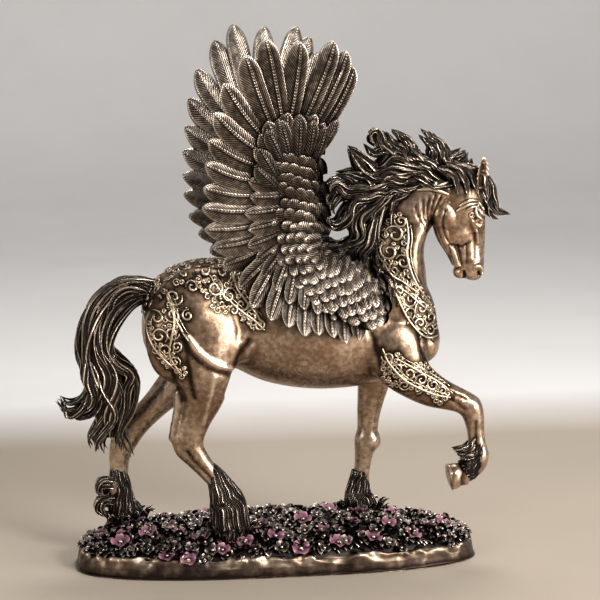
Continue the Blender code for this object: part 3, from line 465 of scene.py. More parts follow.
# Scrolls on the skin as (x, z, radius, start angle in degrees, turn)
SCROLLS = [
    (-57, 147, 5, 200, 1), (-47, 150, 4.6, 340, -1), (-37.5, 151, 4.8, 160, 1), (-28, 150, 4.4, 20, -1),
    (-20, 147, 3.8, 200, 1), (-33, 143, 4.2, 300, 1), (-26, 139, 4, 120, -1), (-20, 134.5, 3.8, 330, 1),
    (-15, 129, 3.4, 150, -1), (-11.5, 124.5, 2.8, 300, 1), (-24, 132, 2.6, 60, 1), (-60, 138, 4.2, 90, -1),
    (-53, 139, 4, 250, 1), (-61.5, 129.5, 4.2, 130, 1), (-54, 131, 3.6, 310, -1), (-60.5, 121, 4, 80, -1),
    (-54.5, 122.5, 3.4, 230, 1), (-57.5, 114, 3.6, 160, 1), (-52.5, 116, 2.6, 20, -1),
    (-53.5, 108.5, 2.8, 100, -1), (-44, 144, 3, 60, 1), (-47, 131, 2.8, 200, -1), (58.5, 166, 4.8, 80, 1),
    (55.5, 157.5, 4.4, 250, -1), (62, 152.5, 3.8, 30, 1), (57, 148.5, 3.4, 180, -1),
    (61.5, 172.5, 3, 300, -1), (53.5, 165.5, 2.8, 140, 1), (59, 139, 3.4, 200, 1), (65, 134.5, 4, 320, -1),
    (71, 129.5, 4.2, 140, 1), (76, 124, 3.4, 300, -1), (64, 127.5, 3.6, 60, -1), (70, 122, 3.6, 220, 1),
    (75.5, 118, 2.8, 30, 1), (79, 119.5, 2.2, 180, -1), (52.5, 107, 3, 300, -1), (57, 101, 3.2, 120, 1),
    (63, 98.5, 3.6, 280, -1), (69.5, 95, 3.4, 90, 1), (75.5, 92, 3, 250, -1), (80.5, 88.5, 2.4, 60, 1),
    (61, 92.5, 2.8, 200, 1), (68, 90, 2.4, 20, -1)]
# Long stems that tie the scrolls together, as lines of (x, z)
STEMS = [
    [(-63, 141), (-60, 150), (-50, 155), (-38, 156), (-26, 154), (-16, 149)],
    [(-35, 149), (-30, 141), (-22, 133), (-14, 127), (-9, 122)],
    [(-24, 148), (-21, 141), (-15, 133), (-10, 126)],
    [(-63, 134), (-66, 126), (-64, 117), (-58, 109), (-51, 103)],
    [(-56, 142), (-53.6, 135), (-53.4, 127), (-55, 119), (-55.5, 111), (-51, 103)],
    [(-56, 140), (-53.6, 131.4), (-50.6, 125), (-46.8, 119)],
    [(50, 172), (49, 163), (51, 154), (55, 147), (61, 143), (68, 138)],
    [(64, 174), (65, 165), (64, 156), (66, 147), (70, 139), (77, 130)],
    [(55, 143), (60, 131), (66, 121), (73, 115), (80, 115)],
    [(57, 142), (64, 137), (71, 131), (78, 125), (81, 120)],
    [(50, 111), (53, 104), (60, 96), (68, 91), (77, 87), (85, 85)],
    [(57, 106), (64, 102), (72, 97), (80, 92), (86, 87)]]

# Outlines of the carved areas, as polygons of (x, z)
CARVED_AREAS = [
    [(-66, 143), (-67, 128), (-65, 119), (-59, 107), (-51, 100), (-46, 103), (-52, 109), (-53, 120),
     (-52, 129), (-53, 136), (-58, 141), (-48, 145), (-43, 149), (-40, 141), (-35, 135), (-31, 132),
     (-24, 131), (-13, 122), (-10, 124), (-16, 136), (-24, 152), (-34, 156), (-46, 155), (-56, 151),
     (-63, 146)],
    [(46, 168), (51, 174), (61, 176), (64, 166), (64, 153), (68, 142), (75, 135), (81, 127), (81, 118),
     (75, 116), (67, 122), (60, 130), (55, 139), (50, 149), (46, 159)],
    [(51, 109), (58, 109), (61, 103), (69, 104), (76, 99), (82, 92), (84, 87), (81, 82), (76, 82), (72, 89),
     (58, 92), (54, 90), (50, 97)]]


def inside(x, z, area):
    """Whether a place lies inside a polygon."""
    within = False
    for (ax, az), (bx, bz) in zip(area, area[1:] + area[:1]):
        if (az > z) != (bz > z) and x < ax + (z - az) * (bx - ax) / (bz - az):
            within = not within
    return within


def laid(skin, flat, side, lift):
    """Puts a flat line on the skin; returns places and outward ways, or None off the skin.

    The line holds (x, z) for the near or far side, and (x, y) for the top. It ends where the skin turns
    away.
    """
    places, ways = [], []
    sight = Vector((0, 0, -1)) if side == TOP else Vector((0, -side, 0))
    for x, other in flat:
        start = Vector((x, other, 200)) if side == TOP else Vector((x, side * 90, other))
        hit, normal, _, _ = skin.ray_cast(start * MM, sight)
        good = hit is not None and abs(normal @ sight) > 0.30
        good = good and (side == TOP or side * hit.y > 2 * MM)
        good = good and (not places or np.linalg.norm(np.array(hit) / MM - places[-1]) < 5)
        if not good and len(places) > 4:
            break
        if not good:
            places, ways = [], []
            continue
        if normal @ sight > 0:
            normal = -normal
        places.append(np.array(hit) / MM + np.array(normal) * lift)
        ways.append(np.array(normal))
    if len(places) < 5:
        return None
    return np.array(places), np.array(ways)


def carved_line(build, skin, flat, side, thick, sides=7):
    """A raised round line on the skin, thin at both ends, and its places."""
    found = laid(skin, flat, side, thick * 0.2)
    if found is None:
        return None
    path, ways = found
    part = np.linspace(0, 1, len(path))[:, None]
    size = thick * (0.35 + 0.65 * np.sin(math.pi * (0.08 + 0.84 * part)))
    along = unit(np.gradient(path, axis=0))
    across = unit(np.cross(ways, along))
    angle = circle(sides)
    points = spread(path, across[:, None], size * np.cos(angle), ways[:, None], size * 1.15 * np.sin(angle))
    build.grid(points, 0.10 + 0.75 * np.clip(np.sin(angle), 0, 1) * np.ones_like(size))
    return path


def leaflet(build, skin, x, z, heading, length, side, curve=0.9):
    """A small pointed leaf on the skin, with a groove down its middle."""
    rows = 6
    flat = [(x, z)]
    for part in np.linspace(0, 1, rows)[1:]:
        angle = heading + curve * part
        step = length / (rows - 1)
        flat.append((flat[-1][0] + step * math.cos(angle), flat[-1][1] + step * math.sin(angle)))
    found = laid(skin, flat, side, 0.1)
    if found is None:
        return
    path, ways = found
    v = np.linspace(0, 1, len(path))[:, None]
    u = np.array([-1, -0.55, -0.15, 0.15, 0.55, 1])[None, :]
    half = length * 0.27 * np.sin(math.pi * (0.14 + 0.83 * v))
    across = unit(np.cross(ways, unit(np.gradient(path, axis=0))))
    body = (1 - u ** 4) * np.sin(math.pi * (0.2 + 0.75 * v))
    height = 1.0 * body - 0.5 * np.exp(-(u / 0.2) ** 2) - 0.3
    points = spread(path, across[:, None], u * half, ways[:, None], height)
    build.grid(points, np.clip(0.1 + 1.0 * height, 0, 1), wrap=False)


# Carving: how far a scroll winds, where leaflets sit along it, and how many curls fill the gaps
SCROLL_TURNS = 1.35
LEAFLETS_AT = (0.50, 0.60, 0.69, 0.77, 0.84, 0.91, 0.97)
CURL_TRIES = 2600
CROUP_CURLS = 60
CURL_THICKNESS = 0.5


def scroll_line(x, z, radius, start, turn, steps=28):
    """A flat spiral that opens outwards."""
    part = np.linspace(0, 1, steps)
    angle = math.radians(start) + turn * part * math.tau * SCROLL_TURNS
    reach = radius * (0.14 + 0.86 * part ** 0.85)
    return np.stack([x + reach * np.cos(angle), z + reach * np.sin(angle)], axis=1)


def scrolls(build, skin, side):
    """The large scrolls with leaflets along them; returns the places that they cover."""
    covered = []
    for x, z, radius, start, turn in SCROLLS:
        flat = scroll_line(x, z, radius, start, turn)
        covered.append(carved_line(build, skin, flat, side, 0.46 + 0.06 * radius))
        for at in LEAFLETS_AT:
            k = int(at * (len(flat) - 2))
            heading = math.atan2(flat[k + 1][1] - flat[k][1], flat[k + 1][0] - flat[k][0])
            out_x, out_z = flat[k] + 0.16 * (flat[k] - (x, z))
            length = radius * (0.3 + 0.42 * at)
            leaflet(build, skin, out_x, out_z, heading - turn * 0.75, length, side, turn * 1.0)
    return covered


def stems(build, skin, side):
    """Stems with a thin line beside each and a leaflet to either side in turn."""
    covered = []
    for line in STEMS:
        flat = spline(line, 38)
        covered.append(carved_line(build, skin, flat, side, 0.75))
        way = unit(np.gradient(flat, axis=0))
        beside = flat + np.stack([-way[:, 1], way[:, 0]], axis=1) * 1.7
        covered.append(carved_line(build, skin, beside[3:-4], side, 0.36))
        for k in range(3, len(flat) - 3, 4):
            heading = math.atan2(way[k][1], way[k][0])
            turn = 1.0 if k % 8 == 3 else -1.0
            leaflet(build, skin, *flat[k], heading + 0.5 * turn, 3.4, side, 0.9 * turn)
    return covered


def small_curls(build, skin, side):
    """Curls between the scrolls; those on the top of the croup come with the near side."""
    covered = []
    rng = np.random.default_rng(3)
    taken = [(x, z, 0.8 * radius) for x, z, radius, *_ in SCROLLS]
    for area in CARVED_AREAS:
        corners = np.array(area)
        for _ in range(CURL_TRIES):
            x, z = rng.uniform(corners.min(axis=0), corners.max(axis=0))
            radius = rng.uniform(1.0, 1.9)
            if not inside(x, z, area):
                continue
            if min(math.hypot(x - a, z - b) - r for a, b, r in taken) < radius * 0.62:
                continue
            taken.append((x, z, radius * 0.9))
            flat = scroll_line(x, z, radius, rng.uniform(0, 360), rng.choice((-1, 1)), 14)
            covered.append(carved_line(build, skin, flat, side, CURL_THICKNESS, 6))
    croup = []
    while side == NEAR and len(croup) < CROUP_CURLS:
        x, y, radius = rng.uniform(-64, -16), rng.uniform(-13, 13), rng.uniform(1.2, 2.4)
        if all(math.hypot(x - a, y - b) > 0.85 * (radius + c) for a, b, c in croup):
            croup.append((x, y, radius))
            flat = scroll_line(x, y, radius, rng.uniform(0, 360), rng.choice((-1, 1)), 14)
            covered.append(carved_line(build, skin, flat, TOP, CURL_THICKNESS, 6))
    return covered


def ornament(skin, side):
    """All the carving of one side, and the places that it covers."""
    build = Build()
    covered = scrolls(build, skin, side) + stems(build, skin, side) + small_curls(build, skin, side)
    return build, np.concatenate([path for path in covered if path is not None])


def shade_round(mesh, relief, covered):
    """Darkens the skin next to the carving, where the patina is left."""
    tree = kdtree.KDTree(len(covered))
    for k, place in enumerate(covered):
        tree.insert(place, k)
    tree.balance()
    points = read(mesh, "co") / MM
    gap = np.array([tree.find(point)[2] for point in points])
    return relief - 0.42 * np.exp(-(gap / 2.1) ** 2)


def ridged(build, rows, ridges, depth, phase=0.0, wind=0.35, across=4, bright=1.0):
    """A closed form with winding ridges through rows of (x, y, z, half depth, half width)."""
    part = np.linspace(0, 1, len(rows))[:, None]
    turn = circle(across * ridges) + wind * np.sin(math.tau * 1.4 * part + 2.1 * phase)
    turn = turn + 0.35 * wind * np.sin(math.tau * 3.7 * part + 4.0 * phase)
    crest = 0.5 + 0.5 * np.cos(ridges * turn + phase)
    number = np.floor((ridges * turn + phase) / math.tau + 0.5)
    own = 0.62 + 0.38 * np.cos(2.4 * number + 8.0 * part + phase)
    lowered = 1 - depth * (1 - own * crest ** 0.6) * (0.8 + 0.2 * np.cos(3 * turn + phase))
    places = np.stack([ridges * turn / math.tau, 30 * part * np.ones_like(turn)], axis=-1)
    points = rings(rows[:, :3], rows[:, 3:4] * lowered, rows[:, 4:5] * lowered, circle(across * ridges))
    build.grid(points, bright * own * crest ** 1.7, places)


def flame(build, path, girth, ridges=8, flat=0.7, phase=0.0, root=0.5, fine=4):
    """A lock of hair round a path in space: it swells and ends in a point."""
    count = fine * len(path) + 4
    part = np.linspace(0, 1, count)
    swell = np.interp(part, [0, 0.12, 0.38, 0.72, 0.92, 1], [root, 0.85, 1.0, 0.66, 0.26, 0.02])
    rows = np.column_stack([spline(path, count), girth * swell, girth * flat * swell])
    ridged(build, rows, ridges, 0.34, phase)


# Hair as (girth, line of (x, z) drawn from root to tip)
MANE = [
    (3.3, [(72, 202), (68, 209), (64, 213), (59, 217)]),
    (3.3, [(66, 200), (62, 207), (58, 211), (54, 217)]),
    (2.9, [(60, 203), (54, 210), (50, 216), (48, 213), (50, 209)]),
    (4.3, [(71, 199), (61, 203), (55, 201), (50, 197), (45, 201), (41, 206), (37, 209)]),
    (3, [(66, 203), (55, 206), (49, 206), (45, 210)]),
    (4.3, [(70, 196), (61, 199), (55, 197), (48, 196), (42, 198), (39, 204), (37, 208)]),
    (4.2, [(67, 194), (58, 195), (51, 193), (45, 194), (38, 196), (31, 196)]),
    (4, [(64, 190), (55, 191), (46, 187), (40, 189), (36, 193), (31, 195)]),
    (4.4, [(54, 189), (45, 188), (38, 187), (32, 190), (27, 189), (24, 184), (26, 180)]),
    (4.2, [(54, 185), (46, 185), (40, 182), (36, 177), (34, 172), (30, 170), (26, 172), (26, 176)]),
    (3.2, [(48, 188), (38, 186), (31, 184), (27, 180), (29, 176)]),
    (3.4, [(84, 198), (83, 205), (80, 211), (74, 217)]),
    (2.8, [(80, 198), (79, 205), (77, 210), (73, 214)]),
    (3.2, [(88, 197), (86, 204), (82, 210), (78, 216)]),
    (3.2, [(87, 193), (86, 199), (90, 203), (95, 207)]),
    (3, [(94, 188), (92, 194), (93, 201), (96, 206)]),
    (2.8, [(99, 186), (97, 192), (97, 198), (98, 203)]),
    (2.4, [(88, 189), (78, 189), (71, 191), (65, 190), (60, 191)]),
    (2.6, [(70, 189), (61, 187), (55, 186), (49, 184), (46, 180)]),
    (2.8, [(58, 187), (49, 183), (45, 177), (42, 171), (44, 165), (43, 158), (44, 152), (50, 147),
           (54, 141), (55, 130)]),
    (2.6, [(62, 186), (54, 181), (49, 174), (46, 167), (48, 161), (48, 154), (51, 149), (56, 144),
           (57, 136)]),
    (4.2, [(53, 184), (44, 177), (40, 170), (40, 163), (35, 159), (29, 160), (27, 165)]),
    (3.6, [(49, 174), (45, 161), (41, 154), (36, 152), (31, 155), (30, 158)]),
    (2.4, [(66, 187), (60, 182), (57, 176), (57, 170)]),
    (3.4, [(80, 193), (72, 197), (66, 199), (60, 197)]),
    (3.4, [(82, 196), (74, 201), (69, 203), (63, 206)]),
    (3.2, [(76, 192), (69, 194), (62, 193), (55, 190)])]
MANE_MASS = [
    (97, 0, 190, 4, 4), (91, 0, 195, 6, 6), (83, 0, 197, 7, 7), (74, 0, 197, 7.5, 7), (64, 0, 193, 7.5, 7),
    (56, 0, 184, 7, 6.5), (51.5, 0, 172, 6.5, 6.5), (50, 0, 159, 6, 6), (51, 0, 146, 5.5, 6),
    (54, 0, 134, 4, 5)]
FORELOCK = [
    (2.2, [(92, 197), (101, 197), (107, 191), (109, 185), (108, 179), (112, 175), (118, 174)]),
    (2, [(93, 199), (103, 196), (109, 189), (111, 182), (113, 177), (119, 174)]),
    (2.2, [(94, 195), (101, 193), (104, 186), (107, 180), (109, 174), (113, 172)]),
    (2, [(92, 196), (99, 195), (104, 189), (106, 183), (109, 177)])]
TEMPLE_HAIR = [
    [(80, 199), (86, 196), (89, 191), (90, 184)],
    [(84, 201), (91, 197), (94, 191), (95, 182)],
    [(88, 201), (95, 197), (99, 191), (100, 182)],
    [(92, 200), (100, 197), (104, 191), (105, 183)]]
TAIL_MASS = [
    (-56, 0, 137, 4, 4), (-61, 0, 139.5, 5, 4.6), (-66.8, 0, 141, 5.6, 5.2), (-75.7, 0, 139.2, 7.2, 6.2),
    (-84.2, 0, 133.6, 7.8, 7), (-88.6, 0, 122.5, 7.6, 7.2), (-88.8, 0, 109.9, 7.8, 7.6),
    (-85.2, 0, 98, 9.2, 8), (-83, 0, 86, 9.8, 7.6), (-84, 0, 75, 7.6, 6), (-84, 0, 66, 4, 3.6)]
TAIL = [
    (2.8, [(-56, 141), (-68, 144), (-79, 143), (-88, 136), (-94, 126), (-96.6, 115), (-96, 104), (-92, 95),
           (-96, 87), (-103, 84), (-108, 87)]),
    (2.8, [(-56, 140), (-69, 142), (-80, 139.5), (-87.5, 131), (-92, 120), (-93.5, 109), (-91, 98),
           (-89, 87), (-93, 78), (-100, 76), (-102, 80)]),
    (2.6, [(-56, 139), (-71, 140.5), (-81, 135.5), (-86.5, 126), (-89, 115), (-89, 104), (-86, 94),
           (-85, 82), (-90, 72), (-93, 66), (-92, 61)]),
    (2.6, [(-56, 138), (-70, 138), (-79, 133), (-84, 124), (-86.8, 113), (-85.5, 102), (-80, 91), (-79, 81),
           (-83, 72), (-87, 64), (-86, 58)]),
    (2.6, [(-56, 137), (-69, 136), (-77, 131.5), (-82.4, 122), (-84.6, 112), (-81.6, 103), (-74, 96),
           (-72, 87), (-73, 78), (-77, 69), (-75, 61), (-73, 55)]),
    (2.4, [(-57, 135), (-67, 134.5), (-75, 130), (-81.6, 120), (-83.2, 110), (-79, 103.5), (-73, 98),
           (-71, 90), (-75, 80), (-79, 69), (-80, 61)]),
    (3.2, [(-90, 122), (-94.5, 109), (-94, 97), (-91, 89), (-96, 81), (-104, 80), (-109, 86)]),
    (3, [(-90, 106), (-92, 92), (-97, 82), (-103, 78), (-107, 83)]),
    (3.2, [(-88, 110), (-89, 99), (-84, 88), (-83, 76), (-89, 66), (-90, 59)]),
    (3, [(-85, 112), (-80, 105), (-73.8, 98), (-76, 90), (-75, 80), (-79, 68), (-77, 58)])]


def wavy(line, rng, reach):
    """A flat line with waves that grow towards its tip."""
    flat = spline(line, 2 * len(line) - 1)
    way = unit(np.gradient(flat, axis=0))
    length = np.cumsum(np.linalg.norm(np.gradient(flat, axis=0), axis=1))
    part = length / length[-1]
    waves = np.sin(math.tau * length / rng.uniform(11, 16) + rng.uniform(0, math.tau))
    sway = reach * waves * np.sin(math.pi * part ** 0.8)
    return flat + np.stack([-way[:, 1], way[:, 0]], axis=1) * sway[:, None]


def draped(skin, flat, side, free, lift):
    """Gives a drawn lock its depth: it lies on the skin where there is skin, and flies free elsewhere."""
    deep = []
    for x, z in flat:
        hit = skin.ray_cast(Vector((x * MM, side * 90 * MM, z * MM)), Vector((0, -side, 0)))[0]
        on_skin = hit is not None and hit.y * side > 0
        deep.append(max(abs(hit.y) / MM, free) + lift if on_skin else free + lift)
    deep = np.array(deep)
    for _ in range(2):
        deep[1:-1] = (deep[:-2] + 2 * deep[1:-1] + deep[2:]) / 4
    return [(x, side * y, z) for (x, z), y in zip(flat, deep)]


def mane(skin, side, name, material):
    """Flame-like locks on one side of the crest, over the mane's dark mass."""
    build = Build()
    rng = np.random.default_rng(5 + side)
    for girth, line in MANE:
        flat = wavy(line, rng, 1.0)
        free = 3.6 + 0.5 * girth * rng.uniform(0.2, 1.0)
        path = draped(skin, flat, side, free, 0.35 * girth)
        flame(build, path, girth, 9, 0.62, rng.uniform(0, 6), 0.5, 2)
        beside = rng.uniform(-0.5, 0.5, 2) * girth
        thin = [(x + beside[0], y + side * 0.6 * girth, z + beside[1]) for x, y, z in path]
        flame(build, thin[:-2], 0.32 * girth, 3, 0.8, rng.uniform(0, 6), 0.2, 2)
    for line in TEMPLE_HAIR:
        for aside in (7.4, 9.0):
            flat = wavy(line, rng, 0.6)
            path = [(x, side * (aside + 0.16 * (200 - z) * (aside > 8)), z) for x, z in flat]
            flame(build, path, 2.3, 6, 0.7, rng.uniform(0, 6), 0.6, 2)
    return build.piece(name, material)


def crest(material):
    """The mane's mass, the tufts that stand in the middle of the crest, and the forelock."""
    build = Build()
    rng = np.random.default_rng(7)
    ridged(build, spline(MANE_MASS, 50), 11, 0.2)
    for girth, line in MANE:
        if line[-1][1] > 200:
            path = [(x + rng.uniform(-1, 1), rng.uniform(-1.2, 1.2), z - 0.5) for x, z in line]
            flame(build, path, girth, 8, 0.8, rng.uniform(0, 6))
    for girth, line in FORELOCK:
        for layer in range(3):
            aside = (layer - 1) * 3.2 + rng.uniform(-0.8, 0.8)
            path = [(x - 0.5 * abs(layer - 1), aside * (0.8 + 0.08 * k) - 0.8, z + rng.uniform(-0.7, 0.7))
                    for k, (x, z) in enumerate(line)]
            flame(build, path, girth, 6, 0.8, rng.uniform(0, 6))
    return build.piece("crest_and_forelock", material)


def tail(material):
    """A ridged mass that arches from the dock, with long locks over it that curl out at their ends."""
    build = Build()
    rng = np.random.default_rng(8)
    ridged(build, spline(TAIL_MASS, 64), 17, 0.16, 1.0, 0.5)
    for girth, line in TAIL:
        for layer in range(4):
            aside = (layer - 1.5) * 3.7
            turn = rng.uniform(0, math.tau)
            path = []
            for k, (x, z) in enumerate(line):
                part = k / (len(line) - 1)
                fan = min(1.0, 0.35 + 1.8 * part) * (1.0 - 0.5 * part ** 3)
                sway = 1.5 * math.sin(turn + 11 * part)
                path.append((x + sway, aside * fan, z + 0.5 * sway))
            flame(build, path, girth, 8, 0.85, turn, 0.6, 3)
    return build.piece("tail", material)


# Wing: the height of its root and its reach above that, its distance from the middle plane, its bulge over
# the ribs and its flare at the top
WING_FOOT = 137.0
WING_REACH = 128.0
WING_SPREAD = 19.5
WING_HUG = 10.0
WING_FLARE = 24.0
# The far wing leans back and reaches a little higher
FAR_WING_BACK = 4.8
FAR_WING_RISE = 3.0
# Front and back edges of the wing's arm as (x, z), from its top to its root
FRONT_LINE = [
    (24.5, 231.4), (20.8, 223.3), (16.7, 215.1), (15.2, 208), (17.5, 197), (18.6, 186), (18.6, 176),
    (20.5, 166.5), (27.5, 158.5), (37.5, 156), (46, 149), (50, 139), (49, 129)]
BACK_LINE = [
    (1, 227.5), (-4.5, 222.5), (-8.9, 216), (-8.8, 210), (-7.7, 203), (-6.4, 192), (-5.4, 180), (-4.6, 168),
    (-3.4, 157), (3, 146.5), (11.5, 137.5), (24, 131), (40, 126.5)]
# Flight feathers as (root x, root z, tip x, tip z, width)
FLIGHTS = [
    (17, 221.3, 32.1, 251, 8.6), (12.1, 222.8, 28.5, 258.6, 9.6), (6.3, 222.9, 22.1, 263.4, 10.6),
    (0.6, 223, 5.5, 263.6, 11.2), (-1.8, 222, -11.1, 265, 11.6), (-5.6, 220.2, -20.5, 257.1, 11.6),
    (-8.9, 216.9, -30.2, 243.5, 11.4), (-8.8, 209.6, -34.8, 229.3, 11.2), (-7.7, 203.3, -37, 215.9, 11),
    (-7.6, 197, -38.4, 204.3, 11), (-6.5, 191.1, -39.2, 192.6, 11), (-5.9, 184.7, -39.6, 182.9, 11.2),
    (-5.8, 178.3, -38.1, 172, 11.4), (-5.2, 172.3, -34.1, 163, 11.6), (-4.6, 166.3, -29.2, 153.9, 12.4),
    (-3.5, 161.3, -21.4, 142.9, 12.8), (-1.5, 157.3, -15.6, 133.9, 12.4), (2.1, 152.2, -6.7, 127.7, 11.8),
    (6.5, 147.1, 2.1, 124, 11), (12, 144.1, 10, 119.4, 10.4), (17.9, 141.9, 16.9, 119.7, 9.6),
    (23.8, 139.8, 24.3, 118.5, 9.2), (30.2, 137.7, 30.3, 115.3, 8.8), (36.7, 135, 36.8, 116.6, 8),
    (42.2, 133.4, 43.2, 120.9, 7)]
# Long coverts at the top of the wing, in the same way
TOP_COVERTS = [
    (-2, 207, -9.5, 221.5, 8), (1.5, 209.5, -3.5, 226.5, 8.2), (6, 208.5, 6.2, 229, 7.8),
    (11, 209, 13, 226, 6.6), (15, 207.5, 19, 223, 6.4), (17.5, 211.5, 24.5, 226, 5.6),
    (-5, 199, -13.5, 212.5, 8), (-4.6, 193, -15, 203, 7.8)]


def wing_depth(z):
    """Distance of a wing's middle surface from the middle plane, at a height."""
    up = (z - WING_FOOT) / WING_REACH
    low = np.clip((0.16 - up) / 0.26, 0, 1)
    return WING_SPREAD + WING_HUG * low * low * (3 - 2 * low) + WING_FLARE * np.maximum(0, up) ** 1.1


def wing_place(x, z, lift=0.0):
    """A place on the near wing, lifted off its middle surface."""
    return np.array([x, -(wing_depth(z) + lift), z])


def feather(build, root, tip, width, thick, bend, arch, roll, rows, out=NEAR, wear=1.0):
    """A feather with a ridged shaft, sloping sides and a round tip. Bend curves it in its own plane."""
    root, tip = np.array(root, dtype=float), np.array(tip, dtype=float)
    length = np.linalg.norm(tip - root)
    along = (tip - root) / length
    normal = np.array([0.0, out, 0.0])
    normal = unit(normal - along * (normal @ along))
    across = np.cross(along, normal) * (-out)
    across, normal = (across * math.cos(roll) + normal * math.sin(roll),
                      normal * math.cos(roll) - across * math.sin(roll))
    even = np.linspace(0, 1, rows)
    v = (0.35 * even + 0.65 * (1 - np.cos(math.pi * even)) / 2)[:, None]
    tip_part = min(0.6, 0.85 * width / length)
    round_off = np.clip(1 - (np.maximum(0, v - (1 - tip_part)) / tip_part) ** 2, 0, 1) ** 0.6
    half = 0.5 * width * np.interp(v, [0, 0.2, 0.5, 0.75, 1.0], [0.55, 0.80, 0.98, 1.0, 0.9]) * round_off
    half = np.maximum(half, 0.02)
    spine = 0.24
    u = np.array([[-1, -0.93, -0.75, -0.45, -0.12, 0.06, 0.14, 0.19, spine, 0.29, 0.34, 0.42, 0.62, 0.85,
                   0.95, 1]])
    gap = (u - spine) / 0.10
    shaft = np.exp(-(np.abs(gap) - 0.75) ** 2 / 0.10)
    beside = np.exp(-(np.abs(gap) - 1.9) ** 2 / 0.2)
    fade = np.clip(1.2 - v, 0, 1)
    top = (0.5 * thick * np.sqrt(np.clip(1.02 - u ** 2, 0, 1)) + (0.34 * shaft - 0.22 * beside) * fade
           + 0.05 * np.cos(9 * v + 5 * u))
    below = np.array([0.7, 0, -0.7])[None, :]
    bottom = -0.5 * thick * np.sqrt(1 - below ** 2) - 0.2 * np.exp(-(below / 0.14) ** 2) * fade
    middle = (root + along * (v * length) + across * (bend * length * (v - v ** 2) * 4)
              + normal * (arch * 4 * (v - v ** 2)))
    sheet = spread(middle, across, u * half, normal, top)
    under = spread(middle, across, below * half, normal, bottom)
    rim = 0.34 * np.abs(u) ** 10 + 0.40 * np.clip((v - 0.84) / 0.16, 0, 1) ** 2
    worn = (0.36 + 0.66 * shaft * fade - 0.26 * beside + rim) * np.clip(0.15 + 1.6 * v, 0, 1) * wear
    spots = np.stack([(u - spine) * half, v * length * np.ones_like(u)], axis=-1)
    spots_under = np.stack([below * half, v * length * np.ones_like(below)], axis=-1)
    relief = np.concatenate([np.clip(worn, 0, 1), np.full((rows, below.shape[1]), 0.3)], axis=1)
    build.grid(np.concatenate([sheet, under], axis=1), relief, np.concatenate([spots, spots_under], axis=1))


def scale_feather(build, x, z, way, size, lift, out, bright):
    """A small domed feather that rises from its root to a rounded tip."""
    v = np.array([0, 0.15, 0.32, 0.5, 0.66, 0.79, 0.89, 0.96, 1.0])[:, None]
    u = np.array([-1.06, -1, -0.8, -0.45, -0.15, 0.15, 0.45, 0.8, 1, 1.06])[None, :]
    swell = np.interp(v, [0, 0.2, 0.5, 0.72, 0.86, 0.95, 1], [0.6, 0.88, 1.0, 0.94, 0.74, 0.46, 0.12])
    half = 0.5 * size * swell
    long, reach = (v - 0.5) * 1.3 * size, u * half
    flat_x = x + way[0] * long + way[1] * reach
    flat_z = z + way[1] * long - way[0] * reach
    dome = 0.9 * (1 - np.clip(np.abs(u), 0, 1) ** 2.5) + 1.2 * v
    sunk = 2.6 * (np.abs(u) > 1) + 2.6 * (v > 0.99) + 0.35 * np.exp(-(u / 0.15) ** 2) * (1 - v)
    deep = wing_depth(flat_z) - out * (lift + dome - sunk)
    body = 0.30 * (1 - u ** 2) * np.clip(2 * v - 0.5, 0, 1) + 0.70 * np.clip((v - 0.42) / 0.5, 0, 1)
    relief = np.clip(0.12 + bright * body - 0.6 * (sunk > 1), 0, 1)
    places = np.stack([reach + 0.1, long * np.ones_like(u)], axis=-1)
    build.grid(np.stack([flat_x, -deep, flat_z], axis=-1), relief, places, wrap=False)


def arm_thickness(down):
    """Half the thickness of the wing's fleshy front, from its top (0) to its root (1)."""
    return np.interp(down, [0, 0.08, 0.5, 1], [0.8, 1.6, 2.8, 4.2])


# Small feathers on the wing's arm: rows, the spacing in a row and the size of one
SCALE_ROWS = 24
SCALE_SPACING = 4.7
SCALE_SIZE = 6.7


def wing_arm(build):
    """The fleshy front of the wing under its small feathers, and its root on the shoulder."""
    front, back = spline(FRONT_LINE, 34), spline(BACK_LINE, 34)
    rows = []
    for k, ((fx, fz), (bx, bz)) in enumerate(zip(front, back)):
        lead, trail = wing_place(fx, fz), wing_place(bx, bz)
        thick = arm_thickness(k / 33)
        angle = circle(20)[0]
        ring = (lead + trail) / 2 + np.outer(np.cos(angle), (lead - trail) / 2)
        ring[:, 1] -= thick * np.sin(angle)
        rows.append(ring)
    build.grid(np.array(rows), 0.12)
    root = wing_place(24, 145)
    egg(build, (root[0], root[1] + WING_HUG, root[2] - 5), (21, WING_HUG - 1.0, 14))


def flights(build):
    """The long feathers that fan out behind the arm."""
    for k, (rx, rz, tx, tz, width) in enumerate(FLIGHTS):
        lift = 0.35 * (k % 2)
        root, tip = wing_place(rx, rz, lift), wing_place(tx, tz, lift)
        root = root + (root - tip) * 0.18
        bend = np.interp(k, [0, 4, 6, 9, 13, 16, len(FLIGHTS)],
                         [0.035, 0.0, -0.06, -0.10, -0.09, -0.03, 0.0])
        feather(build, root, tip, width, 1.7, bend, 0.4, 0.15, 24)


